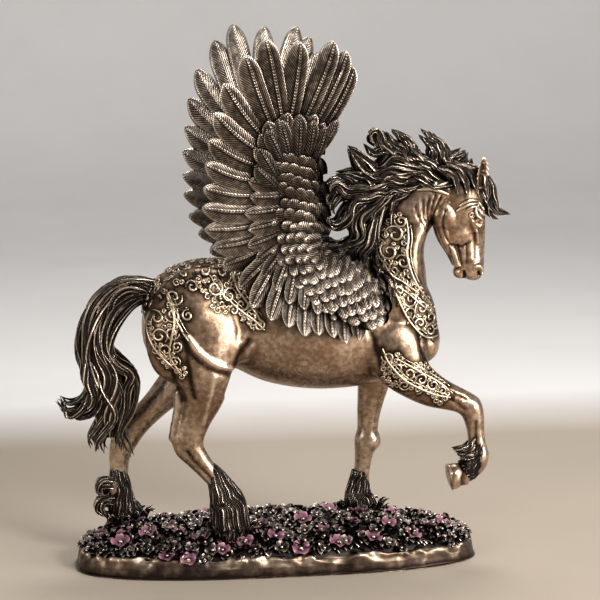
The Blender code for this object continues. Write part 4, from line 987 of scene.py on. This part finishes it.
def coverts(build, rng):
    """Long coverts at the wing's top, and shorter ones over the roots of the flight feathers."""
    for rx, rz, tx, tz, width in TOP_COVERTS:
        for out in (NEAR, FAR):
            lift = 2.6 * -out
            feather(build, wing_place(rx, rz, lift), wing_place(tx, tz, lift), width, 1.8, 0.0, 0.6,
                    rng.uniform(-0.1, 0.1), 12, out, 0.55)
    for k, (rx, rz, tx, tz, width) in enumerate(spline(FLIGHTS, 24)):
        part = np.interp(k, [0, 5, 9, 13, 17, 23], [0.10, 0.12, 0.28, 0.42, 0.50, 0.45]) + 0.05 * (k % 2)
        for out, lift in ((NEAR, 1.9), (FAR, -1.9)):
            root = wing_place(rx, rz, lift)
            tip = wing_place(rx + (tx - rx) * part, rz + (tz - rz) * part, lift * 1.05)
            root = root + (root - tip) * min(1.2, 6 / np.linalg.norm(tip - root))
            feather(build, root, tip, width * 0.80, 1.5, -0.05, 0.4, 0.16, 11, out, 0.9)


def arm_feathers(build, rng):
    """Rows of small domed feathers on both faces of the arm, each row over the one below it."""
    front, back = spline(FRONT_LINE, SCALE_ROWS + 1), spline(BACK_LINE, SCALE_ROWS + 1)
    for row in range(SCALE_ROWS, 3, -1):
        down = row / SCALE_ROWS
        reach = np.linalg.norm(front[row] - back[row])
        line = (front[row] - back[row]) / reach
        lean = math.radians(np.interp(down, [0.15, 0.42, 0.58, 0.75, 1], [82, 62, 5, -55, -85]))
        way = -line * math.cos(lean) + np.array([-line[1], line[0]]) * math.sin(lean)
        across = max(3, round(reach / SCALE_SPACING))
        bright = np.interp(down, [0, 0.45, 0.65, 1], [0.24, 0.30, 0.50, 0.62])
        for n in range(across + 1):
            part = (n + 0.5 * (row % 2)) / across
            x, z = back[row] + line * reach * (0.03 + 0.88 * part) + rng.uniform(-0.5, 0.5, 2)
            turn = rng.uniform(-0.32, 0.32)
            aimed = (way[0] - turn * way[1], way[1] + turn * way[0])
            swell = arm_thickness(down) * 2 * math.sqrt(max(0.0, part * (1 - part)))
            size = SCALE_SIZE * rng.uniform(0.88, 1.14)
            for out in (NEAR, FAR):
                scale_feather(build, x, z, aimed, size, swell - 0.5, out, bright * rng.uniform(0.8, 1.1))


def wing(material, side):
    """A whole wing; the far one is the near one's twin, leaned back a little."""
    build = Build()
    rng = np.random.default_rng(21)
    wing_arm(build)
    flights(build)
    coverts(build, rng)
    arm_feathers(build, rng)
    if side == NEAR:
        return build.piece("wing_near", material)
    for points in build.points:
        points[:, 0] -= FAR_WING_BACK * np.clip((points[:, 2] - WING_FOOT) / 60, 0, 1)
        points[:, 2] += FAR_WING_RISE * np.clip((points[:, 2] - 200) / 60, 0, 1)
    return build.piece("wing_far", material, True)


def outline(angle, grow):
    """Points of the base's rounded outline, moved out by a distance."""
    c, s = np.cos(angle), np.sin(angle)
    reach = (np.abs(c) ** BASE_ROUNDNESS + np.abs(s) ** BASE_ROUNDNESS) ** (-1 / BASE_ROUNDNESS)
    return np.stack([(BASE_LENGTH / 2 + grow) * reach * c, (BASE_DEPTH / 2 + grow) * reach * s], axis=-1)


def lumps(points, scale, seed, octaves=3):
    """Smooth random heights between -1 and 1, the same for the same place."""
    rng = np.random.default_rng(seed)
    total = np.zeros(points.shape[:-1])
    size, weight, whole = scale, 1.0, 0.0
    for _ in range(octaves):
        for _ in range(5):
            way = unit(rng.normal(size=3)) / size
            total += weight * np.sin(points @ way * math.tau + rng.uniform(0, math.tau)) / 5 ** 0.5
        whole += weight
        size, weight = size * 0.5, weight * 0.55
    return np.tanh(total / whole * 1.6)


def rim(material):
    """Rocky slab with a chipped rim and a flat underside."""
    columns = 360
    angle = np.linspace(0, math.tau, columns, endpoint=False)
    levels = [(0.0, -30.0), (0.0, -1.6), (0.5, -1.0), (1.6, -0.7), (3.0, -0.8), (4.4, -1.0), (5.8, -1.1),
              (7.2, -1.2), (8.4, -1.3), (9.4, -1.7), (10.2, -3.0), (10.4, -5.0), (9.6, -7.0), (9.0, -20.0)]
    rows = spline(levels, 44)
    rows = np.vstack([levels[0], rows[4:]])
    heights = np.broadcast_to(rows[:, :1, None], (len(rows), columns, 1))
    points = np.concatenate([outline(angle[None, :], rows[:, 1:2]), heights], axis=2)
    broad = lumps(points * np.array([1, 1, 0.4]), 44, 3, 2)
    facet = np.abs(lumps(points * np.array([1, 1, 0.8]), 21, 4, 2))
    top = np.clip((points[..., 2] - 5.0) / 4.0, 0, 1)
    chip = np.clip(np.abs(lumps(points * np.array([1, 1, 0.6]), 12, 9, 1)) - 0.55, 0, 1) * top
    inward = 0.5 * broad + 0.7 * facet + 4.0 * chip
    outward = unit(points * np.array([0.35, 1.0, 0.0]))
    amount = np.clip((points[..., 2] + 0.2) / 1.5, 0, 1) * np.clip((rows[:, 1:2] + 12) / 6, 0, 1)
    points = points - outward * (inward * amount - 0.4)[..., None] * np.clip(rows[:, 1:2, None] + 12, 0, 1)
    points[..., 2] += (0.8 * lumps(points, 22, 6) - 2.0 * chip) * top
    points[..., 2] = np.maximum(points[..., 2], 0.0)
    edge = np.exp(-((points[..., 2] - 9.6) / 0.9) ** 2)
    build = Build()
    build.grid(points, np.clip(0.44 - 0.25 * facet + 1.2 * chip + 0.12 * broad + 0.3 * edge, 0, 1))
    return build.piece("rocky_rim", material)


def leaf(build, centre, heading, rise, length, width, worn):
    """A small folded leaf with a raised middle."""
    flat = math.cos(rise)
    along = np.array([math.cos(heading) * flat, math.sin(heading) * flat, math.sin(rise)])
    across = unit(np.cross((0, 0, 1.0), along))
    up = np.cross(along, across)
    v = np.linspace(0, 1, 6)[:, None]
    u = np.linspace(-1, 1, 5)[None, :]
    half = 0.5 * width * np.sin(math.pi * np.clip(0.10 + 0.86 * v, 0, 1)) ** 0.8
    height = 0.55 * np.abs(u) * half - 0.6 * (u ** 4) + 0.9 * np.sin(math.pi * v)
    middle = np.array(centre) + along * ((v - 0.5) * length)
    points = spread(middle, across, u * half, up, height)
    relief = np.clip(worn + 0.45 * np.abs(u) ** 2 + 0.3 * (v > 0.8), 0, 1)
    build.grid(points, relief * np.ones_like(height), wrap=False)


# Heap of leaves inside the rim: its distance from the rim, its height and how much is scattered on it
HEAP_INSET = 3.4
HEAP_RISE = 12.5
LEAVES = 950
EDGE_LEAVES = 230
DARK_BLOSSOMS = 170
HOOF_PLACES = [(-23, -17.5), (-76, 17), (47, 15.5)]
PINK_FLOWERS = [
    (-70, 10), (-53, 9), (1, 8), (28, 7), (42, 1), (60, 3), (-27, -6), (-10, -14), (-52, -14), (-66, -13),
    (20, -22), (27, -29), (45, -27), (66, -22), (-89, -2), (-77, -6), (-42, -22), (-31, -30), (-58, -29),
    (8, -31), (84, -8), (78, 12), (-86, 13), (14, 22), (-34, 24), (60, 26), (-8, 29), (90, 3), (-60, 30),
    (34, 31), (-80, -16), (-19, -28), (-48, -31), (37, -14), (55, -16), (76, -14), (-4, -25), (12, -11),
    (50, 10), (-40, 5)]


def scattered(count, inset, turn=0.0):
    """Evenly scattered places inside the rim."""
    k = np.arange(count)
    edge = outline(math.tau * k * GOLDEN_PART + turn, -inset)
    return edge * np.sqrt((k + 0.5) / count)[:, None]


def heap_height(x, y):
    """Height of the flower heap at a place, and how near the place is to the rim (0 to 1)."""
    forth = np.abs(x) / (BASE_LENGTH / 2 - HEAP_INSET)
    aside = np.abs(y) / (BASE_DEPTH / 2 - HEAP_INSET)
    near = np.clip(forth ** BASE_ROUNDNESS + aside ** BASE_ROUNDNESS, 0, 1) ** (1 / BASE_ROUNDNESS)
    return RIM_HEIGHT - 1.0 + HEAP_RISE * (1 - near ** 2.4) ** 0.6, near


def bed(material):
    """A heap of small leaves and dark blossoms over a mound."""
    build = Build()
    rng = np.random.default_rng(31)
    angle = np.linspace(0, math.tau, 120, endpoint=False)
    part = np.linspace(1, 0.02, 24)[:, None]
    flat = outline(angle, -HEAP_INSET)[None] * part[..., None]
    mound = np.concatenate([flat, np.zeros((24, 120, 1))], axis=2)
    mound[..., 2] = heap_height(flat[..., 0], flat[..., 1])[0] - 1.0 + 0.8 * lumps(mound, 9, 12)
    build.grid(mound, 0.05)
    places = scattered(LEAVES, HEAP_INSET)
    for x, y in places:
        z, near = heap_height(x, y)
        size = rng.uniform(3.4, 5.6)
        heading = math.atan2(y, x) + rng.uniform(-0.8, 0.8) if near > 0.85 else rng.uniform(0, math.tau)
        centre = (x, y, z + rng.uniform(-1.0, 0.8))
        leaf(build, centre, heading, rng.uniform(-0.2, 1.0) - 0.8 * (near > 0.93), size,
             size * rng.uniform(0.5, 0.75), rng.uniform(0.10, 0.5))
    for angle in np.linspace(0, math.tau, EDGE_LEAVES, endpoint=False):
        x, y = outline(angle, -HEAP_INSET - rng.uniform(-0.6, 4.0))
        size = rng.uniform(3.2, 5.0)
        leaf(build, (x, y, heap_height(x, y)[0] + rng.uniform(-0.4, 1.0)), angle + rng.uniform(-0.9, 0.9),
             rng.uniform(-0.5, 0.4), size, size * rng.uniform(0.5, 0.75), rng.uniform(0.15, 0.55))
        if rng.uniform() < 0.28:
            place_blossom(build, build, rng, x, y, rng.uniform(5.0, 6.4), 5)
    places = scattered(DARK_BLOSSOMS, HEAP_INSET + 1.0, 2.1)
    for x, y in places:
        place_blossom(build, build, rng, x, y, rng.uniform(6.2, 8.2), 5)
    return build.piece("leaf_bed", material)


def blossom(petals, buttons, centre, heading, size, up, fine):
    """Five round notched petals round a raised button."""
    up = unit(np.array(up, dtype=float))
    first = unit(np.cross(up, (math.cos(heading), math.sin(heading), 0.0)))
    second = np.cross(up, first)
    v = np.linspace(0, 1, fine)[:, None]
    u = np.linspace(-1, 1, fine)[None, :]
    half = 0.34 * size * np.sin(math.pi * (0.14 + 0.74 * v)) ** 0.7
    reach = size * 0.5 * (0.12 + 0.88 * v - 0.10 * (v ** 4) * np.exp(-(u / 0.3) ** 2))
    cup, fold = 0.17 * np.sin(math.pi * 0.75 * v) + 0.12 * u ** 2 * v, 0.05 * np.exp(-(u / 0.25) ** 2)
    height = size * (cup - fold)
    worn = np.clip(0.10 + 0.62 * v + 0.38 * np.abs(u) ** 2 * v, 0, 1)
    for k in range(5):
        angle = math.tau * k / 5
        out = first * math.cos(angle) + second * math.sin(angle)
        across = np.cross(up, out)
        flat = np.array(centre) + out * reach[..., None] + across * (u * half)[..., None]
        petals.grid(flat + up * height[..., None], worn, wrap=False)
    egg(buttons, np.array(centre) + up * (size * 0.10), (size * 0.12, size * 0.12, size * 0.10), 0, 8)


def place_blossom(petals, buttons, rng, x, y, size, fine):
    """A blossom on the heap, turned outwards where the heap is steep; none where a hoof stands."""
    if min(math.hypot(x - a, y - b) for a, b in HOOF_PLACES) < 8.0:
        return
    z, near = heap_height(x, y)
    slope = 0.15 + 1.6 * max(0.0, near - 0.72)
    turn = math.atan2(1.8 * y, 0.7 * x)
    lean_x = slope * math.cos(turn) + rng.uniform(-0.3, 0.3)
    lean_y = slope * math.sin(turn) + rng.uniform(-0.3, 0.3)
    centre = (x, y, z + rng.uniform(0.2, 1.4))
    blossom(petals, buttons, centre, rng.uniform(0, math.tau), size, (lean_x, lean_y, 1.0), fine)


def flowers(petal_material, button_material):
    """The pink blossoms."""
    petals, buttons = Build(), Build()
    rng = np.random.default_rng(42)
    for x, y in PINK_FLOWERS:
        place_blossom(petals, buttons, rng, x, y, rng.uniform(7.6, 9.4), 7)
    petals.piece("petals", petal_material)
    buttons.piece("flower_buttons", button_material)


# Hair over the hooves: y, and rows of (x, z, half depth, half width)
FEET = [
    (-17.5, [(-37.2, 54, 2.8, 2.8), (-33.8, 50, 4.4, 4.2), (-30.6, 43.6, 6.4, 5.4), (-28.6, 39, 8, 6.4),
             (-27.2, 35.3, 9.2, 7), (-26.2, 30, 9.7, 7.4), (-25.6, 23, 10.2, 7.8), (-25, 15, 11, 8.4)]),
    (17, [(-78.6, 47, 4.2, 4), (-78.3, 42, 5, 4.6), (-77.9, 37, 5.8, 5.2), (-77.4, 31, 6.6, 5.8),
          (-76.8, 26.4, 7.6, 6.6), (-75.4, 22, 9.4, 7.4), (-74.4, 15, 11, 8.4)]),
    (15.5, [(45.8, 40, 4.4, 4.2), (45.4, 36, 5.2, 4.8), (45.2, 32, 6.2, 5.4), (44.9, 27, 7.4, 6.2),
            (46, 22, 9.2, 7.2), (47, 15, 11, 8.4)])]
# Curled locks behind the far hind fetlock and the raised one, as y and a line of (x, z)
FOOT_LOCKS = [
    (17, [(-80, 39), (-84, 39.5), (-88, 37.8), (-89, 34.4), (-85.6, 32.4), (-83, 34)]),
    (17, [(-80, 36), (-84, 36.8), (-87.4, 35.4), (-86.6, 32.6), (-83, 31)]),
    (17, [(-80, 31), (-84.6, 31.4), (-89, 28.8), (-90, 24.8), (-87, 21.6), (-83, 22.4)]),
    (17, [(-80, 28), (-84.6, 28.4), (-87.6, 26), (-86.6, 22.6), (-83, 19.4)]),
    (-16, [(98, 63), (96.8, 59.6), (93.4, 57.6), (87.2, 57.6)]),
    (-16, [(98.4, 60), (97, 57), (93.2, 55.4), (88.4, 56)]),
    (-16, [(98.8, 57), (97.2, 54.4), (94.2, 53.2), (90.4, 53.6)])]
# Hair round the raised fetlock
RAISED_FOOT = [
    (99.8, -16, 60, 4.6, 4.4), (100.2, -16, 55, 5.6, 5.0), (99.4, -16, 50.4, 5.6, 5.2),
    (96.2, -16, 47.2, 6.2, 6.0), (93.4, -16, 45.6, 6.3, 6.2)]
GRASS_BLADES = 16


def hoof_hair(material):
    """Fine ridged hair that falls from each fetlock and covers the foot, with blades of grass round it."""
    build = Build()
    rng = np.random.default_rng(17)
    for y, rows in FEET:
        stations = [(x, y, z, depth, width) for x, z, depth, width in rows]
        ridged(build, spline(stations, 26), 25, 0.08, y, 0.20, 4, 0.78)
        x, z = rows[-1][:2]
        for angle in np.arange(GRASS_BLADES) * math.tau / GRASS_BLADES:
            aside, forth = math.sin(angle), math.cos(angle)
            root = (x + 8.0 * forth, y + 6.6 * aside, z)
            middle = (x + 11.0 * forth, y + 9.0 * aside, z + rng.uniform(5, 9))
            tip = (x + 14.5 * forth, y + 11.5 * aside, z + rng.uniform(6, 10))
            flame(build, [root, middle, tip], 1.2, 3, 0.6, rng.uniform(0, 6))
    for y, line in FOOT_LOCKS:
        for aside in (-3.4, -1.2, 1.2, 3.4):
            path = [(x + rng.uniform(-0.4, 0.4), y + aside, z + rng.uniform(-0.4, 0.4)) for x, z in line]
            flame(build, path, 2.0, 5, 0.8, rng.uniform(0, 6), 0.7, 3)
    ridged(build, spline(RAISED_FOOT, 22), 21, 0.10, 0.5, 0.28, 4, 0.6)
    return build.piece("fetlock_hair", material)


class Paint:
    """A material that is built up from values, which are numbers or sockets."""

    def __init__(self, name, metallic=0.0):
        self.material = bpy.data.materials.new(name)
        self.material.use_nodes = True
        self.tree = self.material.node_tree
        self.shader = self.tree.nodes["Principled BSDF"]
        self.shader.inputs["Metallic"].default_value = metallic
        self.spot = self.add("ShaderNodeTexCoord").outputs["Object"]

    def feed(self, socket, value):
        """Links a socket to another, or sets it to a number or a colour."""
        if isinstance(value, bpy.types.NodeSocket):
            self.tree.links.new(value, socket)
        else:
            socket.default_value = value

    def add(self, kind, **values):
        """A node; each value goes to the socket or the property of that name."""
        made = self.tree.nodes.new(kind)
        for key, value in values.items():
            if key in made.inputs:
                self.feed(made.inputs[key], value)
            else:
                setattr(made, key, value)
        return made

    def math(self, operation, *values):
        made = self.add("ShaderNodeMath", operation=operation)
        for socket, value in zip(made.inputs, values):
            self.feed(socket, value)
        return made.outputs[0]

    def plus(self, a, b):
        return self.math("ADD", a, b)

    def times(self, a, b):
        return self.math("MULTIPLY", a, b)

    def vary(self, value, texture, amount, middle=0.5):
        """A value plus a share of how far a texture lies from its middle."""
        return self.plus(value, self.times(self.math("SUBTRACT", texture, middle), amount))

    def noise(self, scale, detail=2.0, place=None):
        """Smooth random values, by place on the object unless another place is given."""
        place = self.spot if place is None else place
        return self.add("ShaderNodeTexNoise", Scale=scale, Detail=detail, Vector=place).outputs[0]

    def relief(self):
        """How far the surface stands out there."""
        return self.add("ShaderNodeAttribute", attribute_name="relief").outputs["Fac"]

    def ramp(self, value, *stops):
        """A colour by a value, from stops of a position and a colour."""
        made = self.add("ShaderNodeValToRGB")
        self.feed(made.inputs[0], value)
        colours = made.color_ramp.elements
        if len(stops) == 3:
            colours.new(0.5)
        for stop, (position, colour) in zip(colours, stops):
            stop.position = position
            stop.color = (*colour, 1)
        return made.outputs[0]

    def tinted(self, colour, amount, tint):
        """A colour multiplied by a tint, as strongly as the amount says."""
        made = self.add("ShaderNodeMix", data_type="RGBA", blend_type="MULTIPLY")
        self.feed(made.inputs["Factor"], amount)
        self.feed(made.inputs[6], colour)
        self.feed(made.inputs[7], (*tint, 1))
        return made.outputs[2]

    def finish(self, colour, roughness):
        """Feeds the colour and the roughness to the shader and returns the material."""
        self.feed(self.shader.inputs["Base Color"], colour)
        self.feed(self.shader.inputs["Roughness"], roughness)
        return self.material


# Oblique barbs of a feather: millimetres from one to the next, and how far they slope
BARB_SPACING = 1.5
BARB_SLOPE = 1.2


def barbs(paint):
    """Height of a feather's barbs, from the place beside its shaft and along it."""
    place = paint.add("ShaderNodeUVMap", uv_map="place").outputs[0]
    aside, along, _ = paint.add("ShaderNodeSeparateXYZ", Vector=place).outputs
    noise = paint.noise(0.22, 3.0, place)
    slope = paint.math("SUBTRACT", along, paint.times(paint.math("ABSOLUTE", aside), BARB_SLOPE))
    turn = paint.plus(paint.times(slope, math.tau / BARB_SPACING), paint.times(noise, 4.0))
    return paint.plus(paint.times(paint.math("SINE", turn), noise), 0.5)


def strands(paint):
    """Height of fine hairs between the ridges of a lock; the place across counts ridges."""
    place = paint.add("ShaderNodeUVMap", uv_map="place").outputs[0]
    across = paint.add("ShaderNodeSeparateXYZ", Vector=place).outputs[0]
    sway = paint.times(paint.noise(0.35, 2.0, place), 5.0)
    turn = paint.plus(paint.times(across, math.tau * 2.0), sway)
    return paint.plus(paint.times(paint.math("SINE", turn), 0.5), 0.5)


# Antique bronze: how much worn edges and hollows count, the depth of a hollow and the tint of warm patches
EDGE_WEAR = 5.0
HOLLOW_DARK = 0.9
HOLLOW_REACH = 0.006
WARM_TINT = (1.18, 0.86, 0.58)


def bronze(name, dark, middle, bright, roughness, pattern=None, pattern_depth=0.0, shift=0.0, mottle=0.4,
           warmth=0.35, pattern_bump=0.9):
    """Antique bronze: patina in the recesses, metal worn bright on what stands out."""
    paint = Paint(name, 0.88)
    speck, cloud = paint.noise(420.0, 5.0), paint.noise(55.0, 4.0)
    edge = paint.add("ShaderNodeNewGeometry").outputs["Pointiness"]
    hollow = paint.add("ShaderNodeAmbientOcclusion", Distance=HOLLOW_REACH, samples=6).outputs["AO"]
    value = paint.vary(paint.relief(), edge, EDGE_WEAR)
    value = paint.vary(value, speck, mottle)
    value = paint.vary(value, cloud, mottle)
    bump = paint.add("ShaderNodeBump", Strength=0.35, Distance=0.00025, Height=speck)
    if pattern is not None:
        height = pattern(paint)
        value = paint.vary(value, height, pattern_depth)
        bump = paint.add("ShaderNodeBump", Strength=pattern_bump, Distance=0.0004, Height=height,
                         Normal=bump.outputs[0])
    value = paint.plus(paint.vary(value, hollow, HOLLOW_DARK, 1.0), shift)
    colour = paint.ramp(value, (0.10, dark), (0.52, middle), (0.98, bright))
    colour = paint.tinted(colour, paint.times(paint.noise(24.0, 3.0), warmth), WARM_TINT)
    paint.feed(paint.shader.inputs["Normal"], bump.outputs[0])
    rough = paint.plus(paint.times(speck, 0.16), roughness - 0.08)
    return paint.finish(colour, paint.math("SUBTRACT", rough, paint.times(value, 0.06)))


def petal_paint():
    """Dusty pink paint on the petals, thin over the bronze in their hearts."""
    paint = Paint("petal_paint", 0.25)
    cloud = paint.noise(140.0, 3.0)
    colour = paint.ramp(paint.vary(paint.relief(), cloud, 1.0), (0.1, (0.05, 0.02, 0.025)),
                        (0.5, (0.22, 0.080, 0.118)), (0.95, (0.44, 0.21, 0.27)))
    return paint.finish(colour, paint.plus(paint.times(cloud, 0.2), 0.4))


def backdrop_paint(name, floor, wall, turn_start, turn_reach):
    """Matt paint that passes from the floor's colour to the wall's, with a faint mottle."""
    paint = Paint(name)
    back = paint.add("ShaderNodeSeparateXYZ", Vector=paint.spot).outputs[1]
    far = paint.math("DIVIDE", paint.math("SUBTRACT", back, turn_start), turn_reach)
    colour = paint.ramp(paint.vary(far, paint.noise(3.0, 5.0), 0.3), (0.1, floor), (0.9, wall))
    colour = paint.tinted(colour, paint.times(paint.noise(9.0, 8.0), 0.4), (0.72, 0.72, 0.73))
    return paint.finish(colour, 0.8)


# Backdrop: its line from front to back as (y, z), its half width, and in metres where the floor's paint
# starts to turn into the wall's and over what distance
BACKDROP_LINE = [
    (-2600, 0), (-1700, 0), (-900, 0), (-200, 0), (400, 0), (900, 0), (1300, 8), (1560, 60), (1720, 190),
    (1800, 420), (1830, 800), (1840, 1400), (1840, 2600)]
BACKDROP_REACH = 3200
PAINT_TURN = (0.24, 0.16)
FLOOR_COLOUR = (0.44, 0.365, 0.285)
WALL_COLOUR = (0.90, 0.862, 0.828)


def stage():
    """Pale floor that rises into a backdrop behind the figurine."""
    rows, across = spline(BACKDROP_LINE, 60), np.linspace(-BACKDROP_REACH, BACKDROP_REACH, 9)
    points = np.array([[(x, y, z) for x in across] for y, z in rows])
    build = Build()
    build.grid(points, wrap=False)
    mesh = quad_mesh("floor", *build.arrays())
    mesh.shade_smooth()
    mesh.materials.append(backdrop_paint("pale_floor", FLOOR_COLOUR, WALL_COLOUR, *PAINT_TURN))
    floor = bpy.data.objects.new("floor", mesh)
    bpy.context.collection.objects.link(floor)


def lamp(name, place, aim, width, power, colour=(1, 1, 1), height=None):
    """A soft rectangular light that faces a place."""
    light = bpy.data.lights.new(name, "AREA")
    light.shape = "RECTANGLE"
    light.size = width * MM
    light.size_y = (height or width) * MM
    light.energy = power
    light.color = colour
    thing = bpy.data.objects.new(name, light)
    thing.location = Vector(place) * MM
    thing.rotation_mode = "QUATERNION"
    thing.rotation_quaternion = (Vector(aim) - Vector(place)).to_track_quat("-Z", "Y")
    bpy.context.collection.objects.link(thing)


def lights():
    """Soft key, strip, fill and top lights in a dim pale world."""
    lamp("key", (560, -820, 640), (10, 0, 120), 300, 10.0, (1.0, 0.985, 0.96))
    lamp("strip", (820, -640, 170), (40, 0, 130), 460, 12.0, (1, 1, 1), 660)
    lamp("fill", (-780, -620, 420), (0, 0, 130), 340, 3.0, (1.0, 0.98, 0.95))
    lamp("top", (120, 350, 900), (0, 0, 130), 360, 4.0)
    world = bpy.data.worlds.new("studio")
    bpy.context.scene.world = world
    world.use_nodes = True
    sky = world.node_tree.nodes["Background"].inputs
    sky["Color"].default_value = (0.95, 0.97, 1.0, 1)
    sky["Strength"].default_value = 0.36


def camera():
    """The photograph's camera."""
    a, e = math.radians(CAMERA_AZIMUTH), math.radians(CAMERA_ELEVATION)
    back = Vector((math.sin(a) * math.cos(e), -math.cos(a) * math.cos(e), math.sin(e)))
    data = bpy.data.cameras.new("camera")
    data.lens = LENS
    data.sensor_width = 36.0
    data.clip_end = 20.0
    thing = bpy.data.objects.new("camera", data)
    thing.location = (Vector(AIM) + back * CAMERA_DISTANCE) * MM
    thing.rotation_mode = "QUATERNION"
    thing.rotation_quaternion = (-back).to_track_quat("-Z", "Y")
    bpy.context.collection.objects.link(thing)
    bpy.context.scene.camera = thing


# Leafy carving at the temple and on the poll, as lines of (x, z)
HEAD_LEAVES = [
    [(101, 181.8), (97, 182.4), (93.4, 181.2), (91, 179.4)],
    [(100.6, 180.6), (96.4, 180.4), (92.4, 178.8), (89.6, 176.8)],
    [(100.4, 179.2), (97.8, 179), (94.6, 177.6)],
    [(100.9, 181.2), (102.2, 179.2), (103.4, 177.4), (105.2, 176.8)],
    [(100.6, 180), (101.2, 177.2), (102.8, 175.2), (105, 174.6)],
    [(100, 179.4), (99.6, 176.8), (100.6, 174.2), (102.8, 172.4)]]
POLL_LEAVES = [
    [(70, 187.5), (76, 188.2), (86, 188)],
    [(76, 188.5), (81, 189.8), (85.5, 191.2)],
    [(76, 188), (81, 187), (85.5, 185.4)],
    [(78, 188.8), (79.2, 190.8), (79.6, 193)]]

# Patina in the recesses of feathers and hair
DARK = (0.009, 0.007, 0.006)


def figurine():
    """All the pieces and their metals."""
    smooth_metal = bronze("bronze_skin", (0.020, 0.013, 0.009), (0.240, 0.172, 0.121), (0.74, 0.65, 0.55),
                          0.31, mottle=0.62, warmth=0.7)
    feather_metal = bronze("bronze_feathers", DARK, (0.125, 0.101, 0.082), (0.84, 0.77, 0.67), 0.31,
                           barbs, 0.42, shift=-0.02, mottle=0.55, pattern_bump=0.42)
    hair_metal = bronze("bronze_hair", DARK, (0.095, 0.073, 0.058), (0.78, 0.69, 0.57), 0.31, strands, 0.40)
    carved_metal = bronze("bronze_carving", (0.012, 0.008, 0.006), (0.180, 0.134, 0.088),
                          (0.60, 0.50, 0.37), 0.33)
    rock_metal = bronze("bronze_rock", (0.020, 0.013, 0.010), (0.160, 0.116, 0.083), (0.66, 0.55, 0.44),
                        0.40, warmth=0.4)
    leaf_metal = bronze("bronze_leaves", (0.016, 0.013, 0.012), (0.250, 0.208, 0.182), (0.92, 0.85, 0.76),
                        0.36)
    horse = skin_mesh("horse_skin", horse_shapes(), SKIN_GRAIN, 7)
    horse_relief = creased(horse, SKIN_CREASES)
    tree = skin_tree(horse)
    face = skin_mesh("head_skin", head_shapes(), HEAD_GRAIN, 4)
    mark(face, creased(face, HEAD_CREASES))
    face_tree = skin_tree(face)
    covered = []
    for side, name in ((NEAR, "carving_near"), (FAR, "carving_far")):
        build, places = ornament(tree, side)
        for line in HEAD_LEAVES:
            carved_line(build, face_tree, spline(line, 14), side, 0.95)
        carved_line(build, face_tree, scroll_line(97.4, 174.6, 1.7, 60, side), side, 0.5)
        for line in POLL_LEAVES:
            carved_line(build, tree, spline(line, 14), side, 1.1)
        build.piece(name, carved_metal)
        covered.append(places)
    mark(horse, shade_round(horse, horse_relief, np.concatenate(covered)))
    finish_piece("horse_skin", horse, smooth_metal)
    finish_piece("head_skin", face, smooth_metal)
    mane(tree, NEAR, "mane_near", hair_metal)
    mane(tree, FAR, "mane_far", hair_metal)
    crest(hair_metal)
    tail(hair_metal)
    hoof_hair(hair_metal)
    wing(feather_metal, NEAR)
    wing(feather_metal, FAR)
    rim(rock_metal)
    bed(leaf_metal)
    flowers(petal_paint(), leaf_metal)


camera()
lights()
stage()
figurine()
bpy.context.scene.view_settings.view_transform = "Standard"
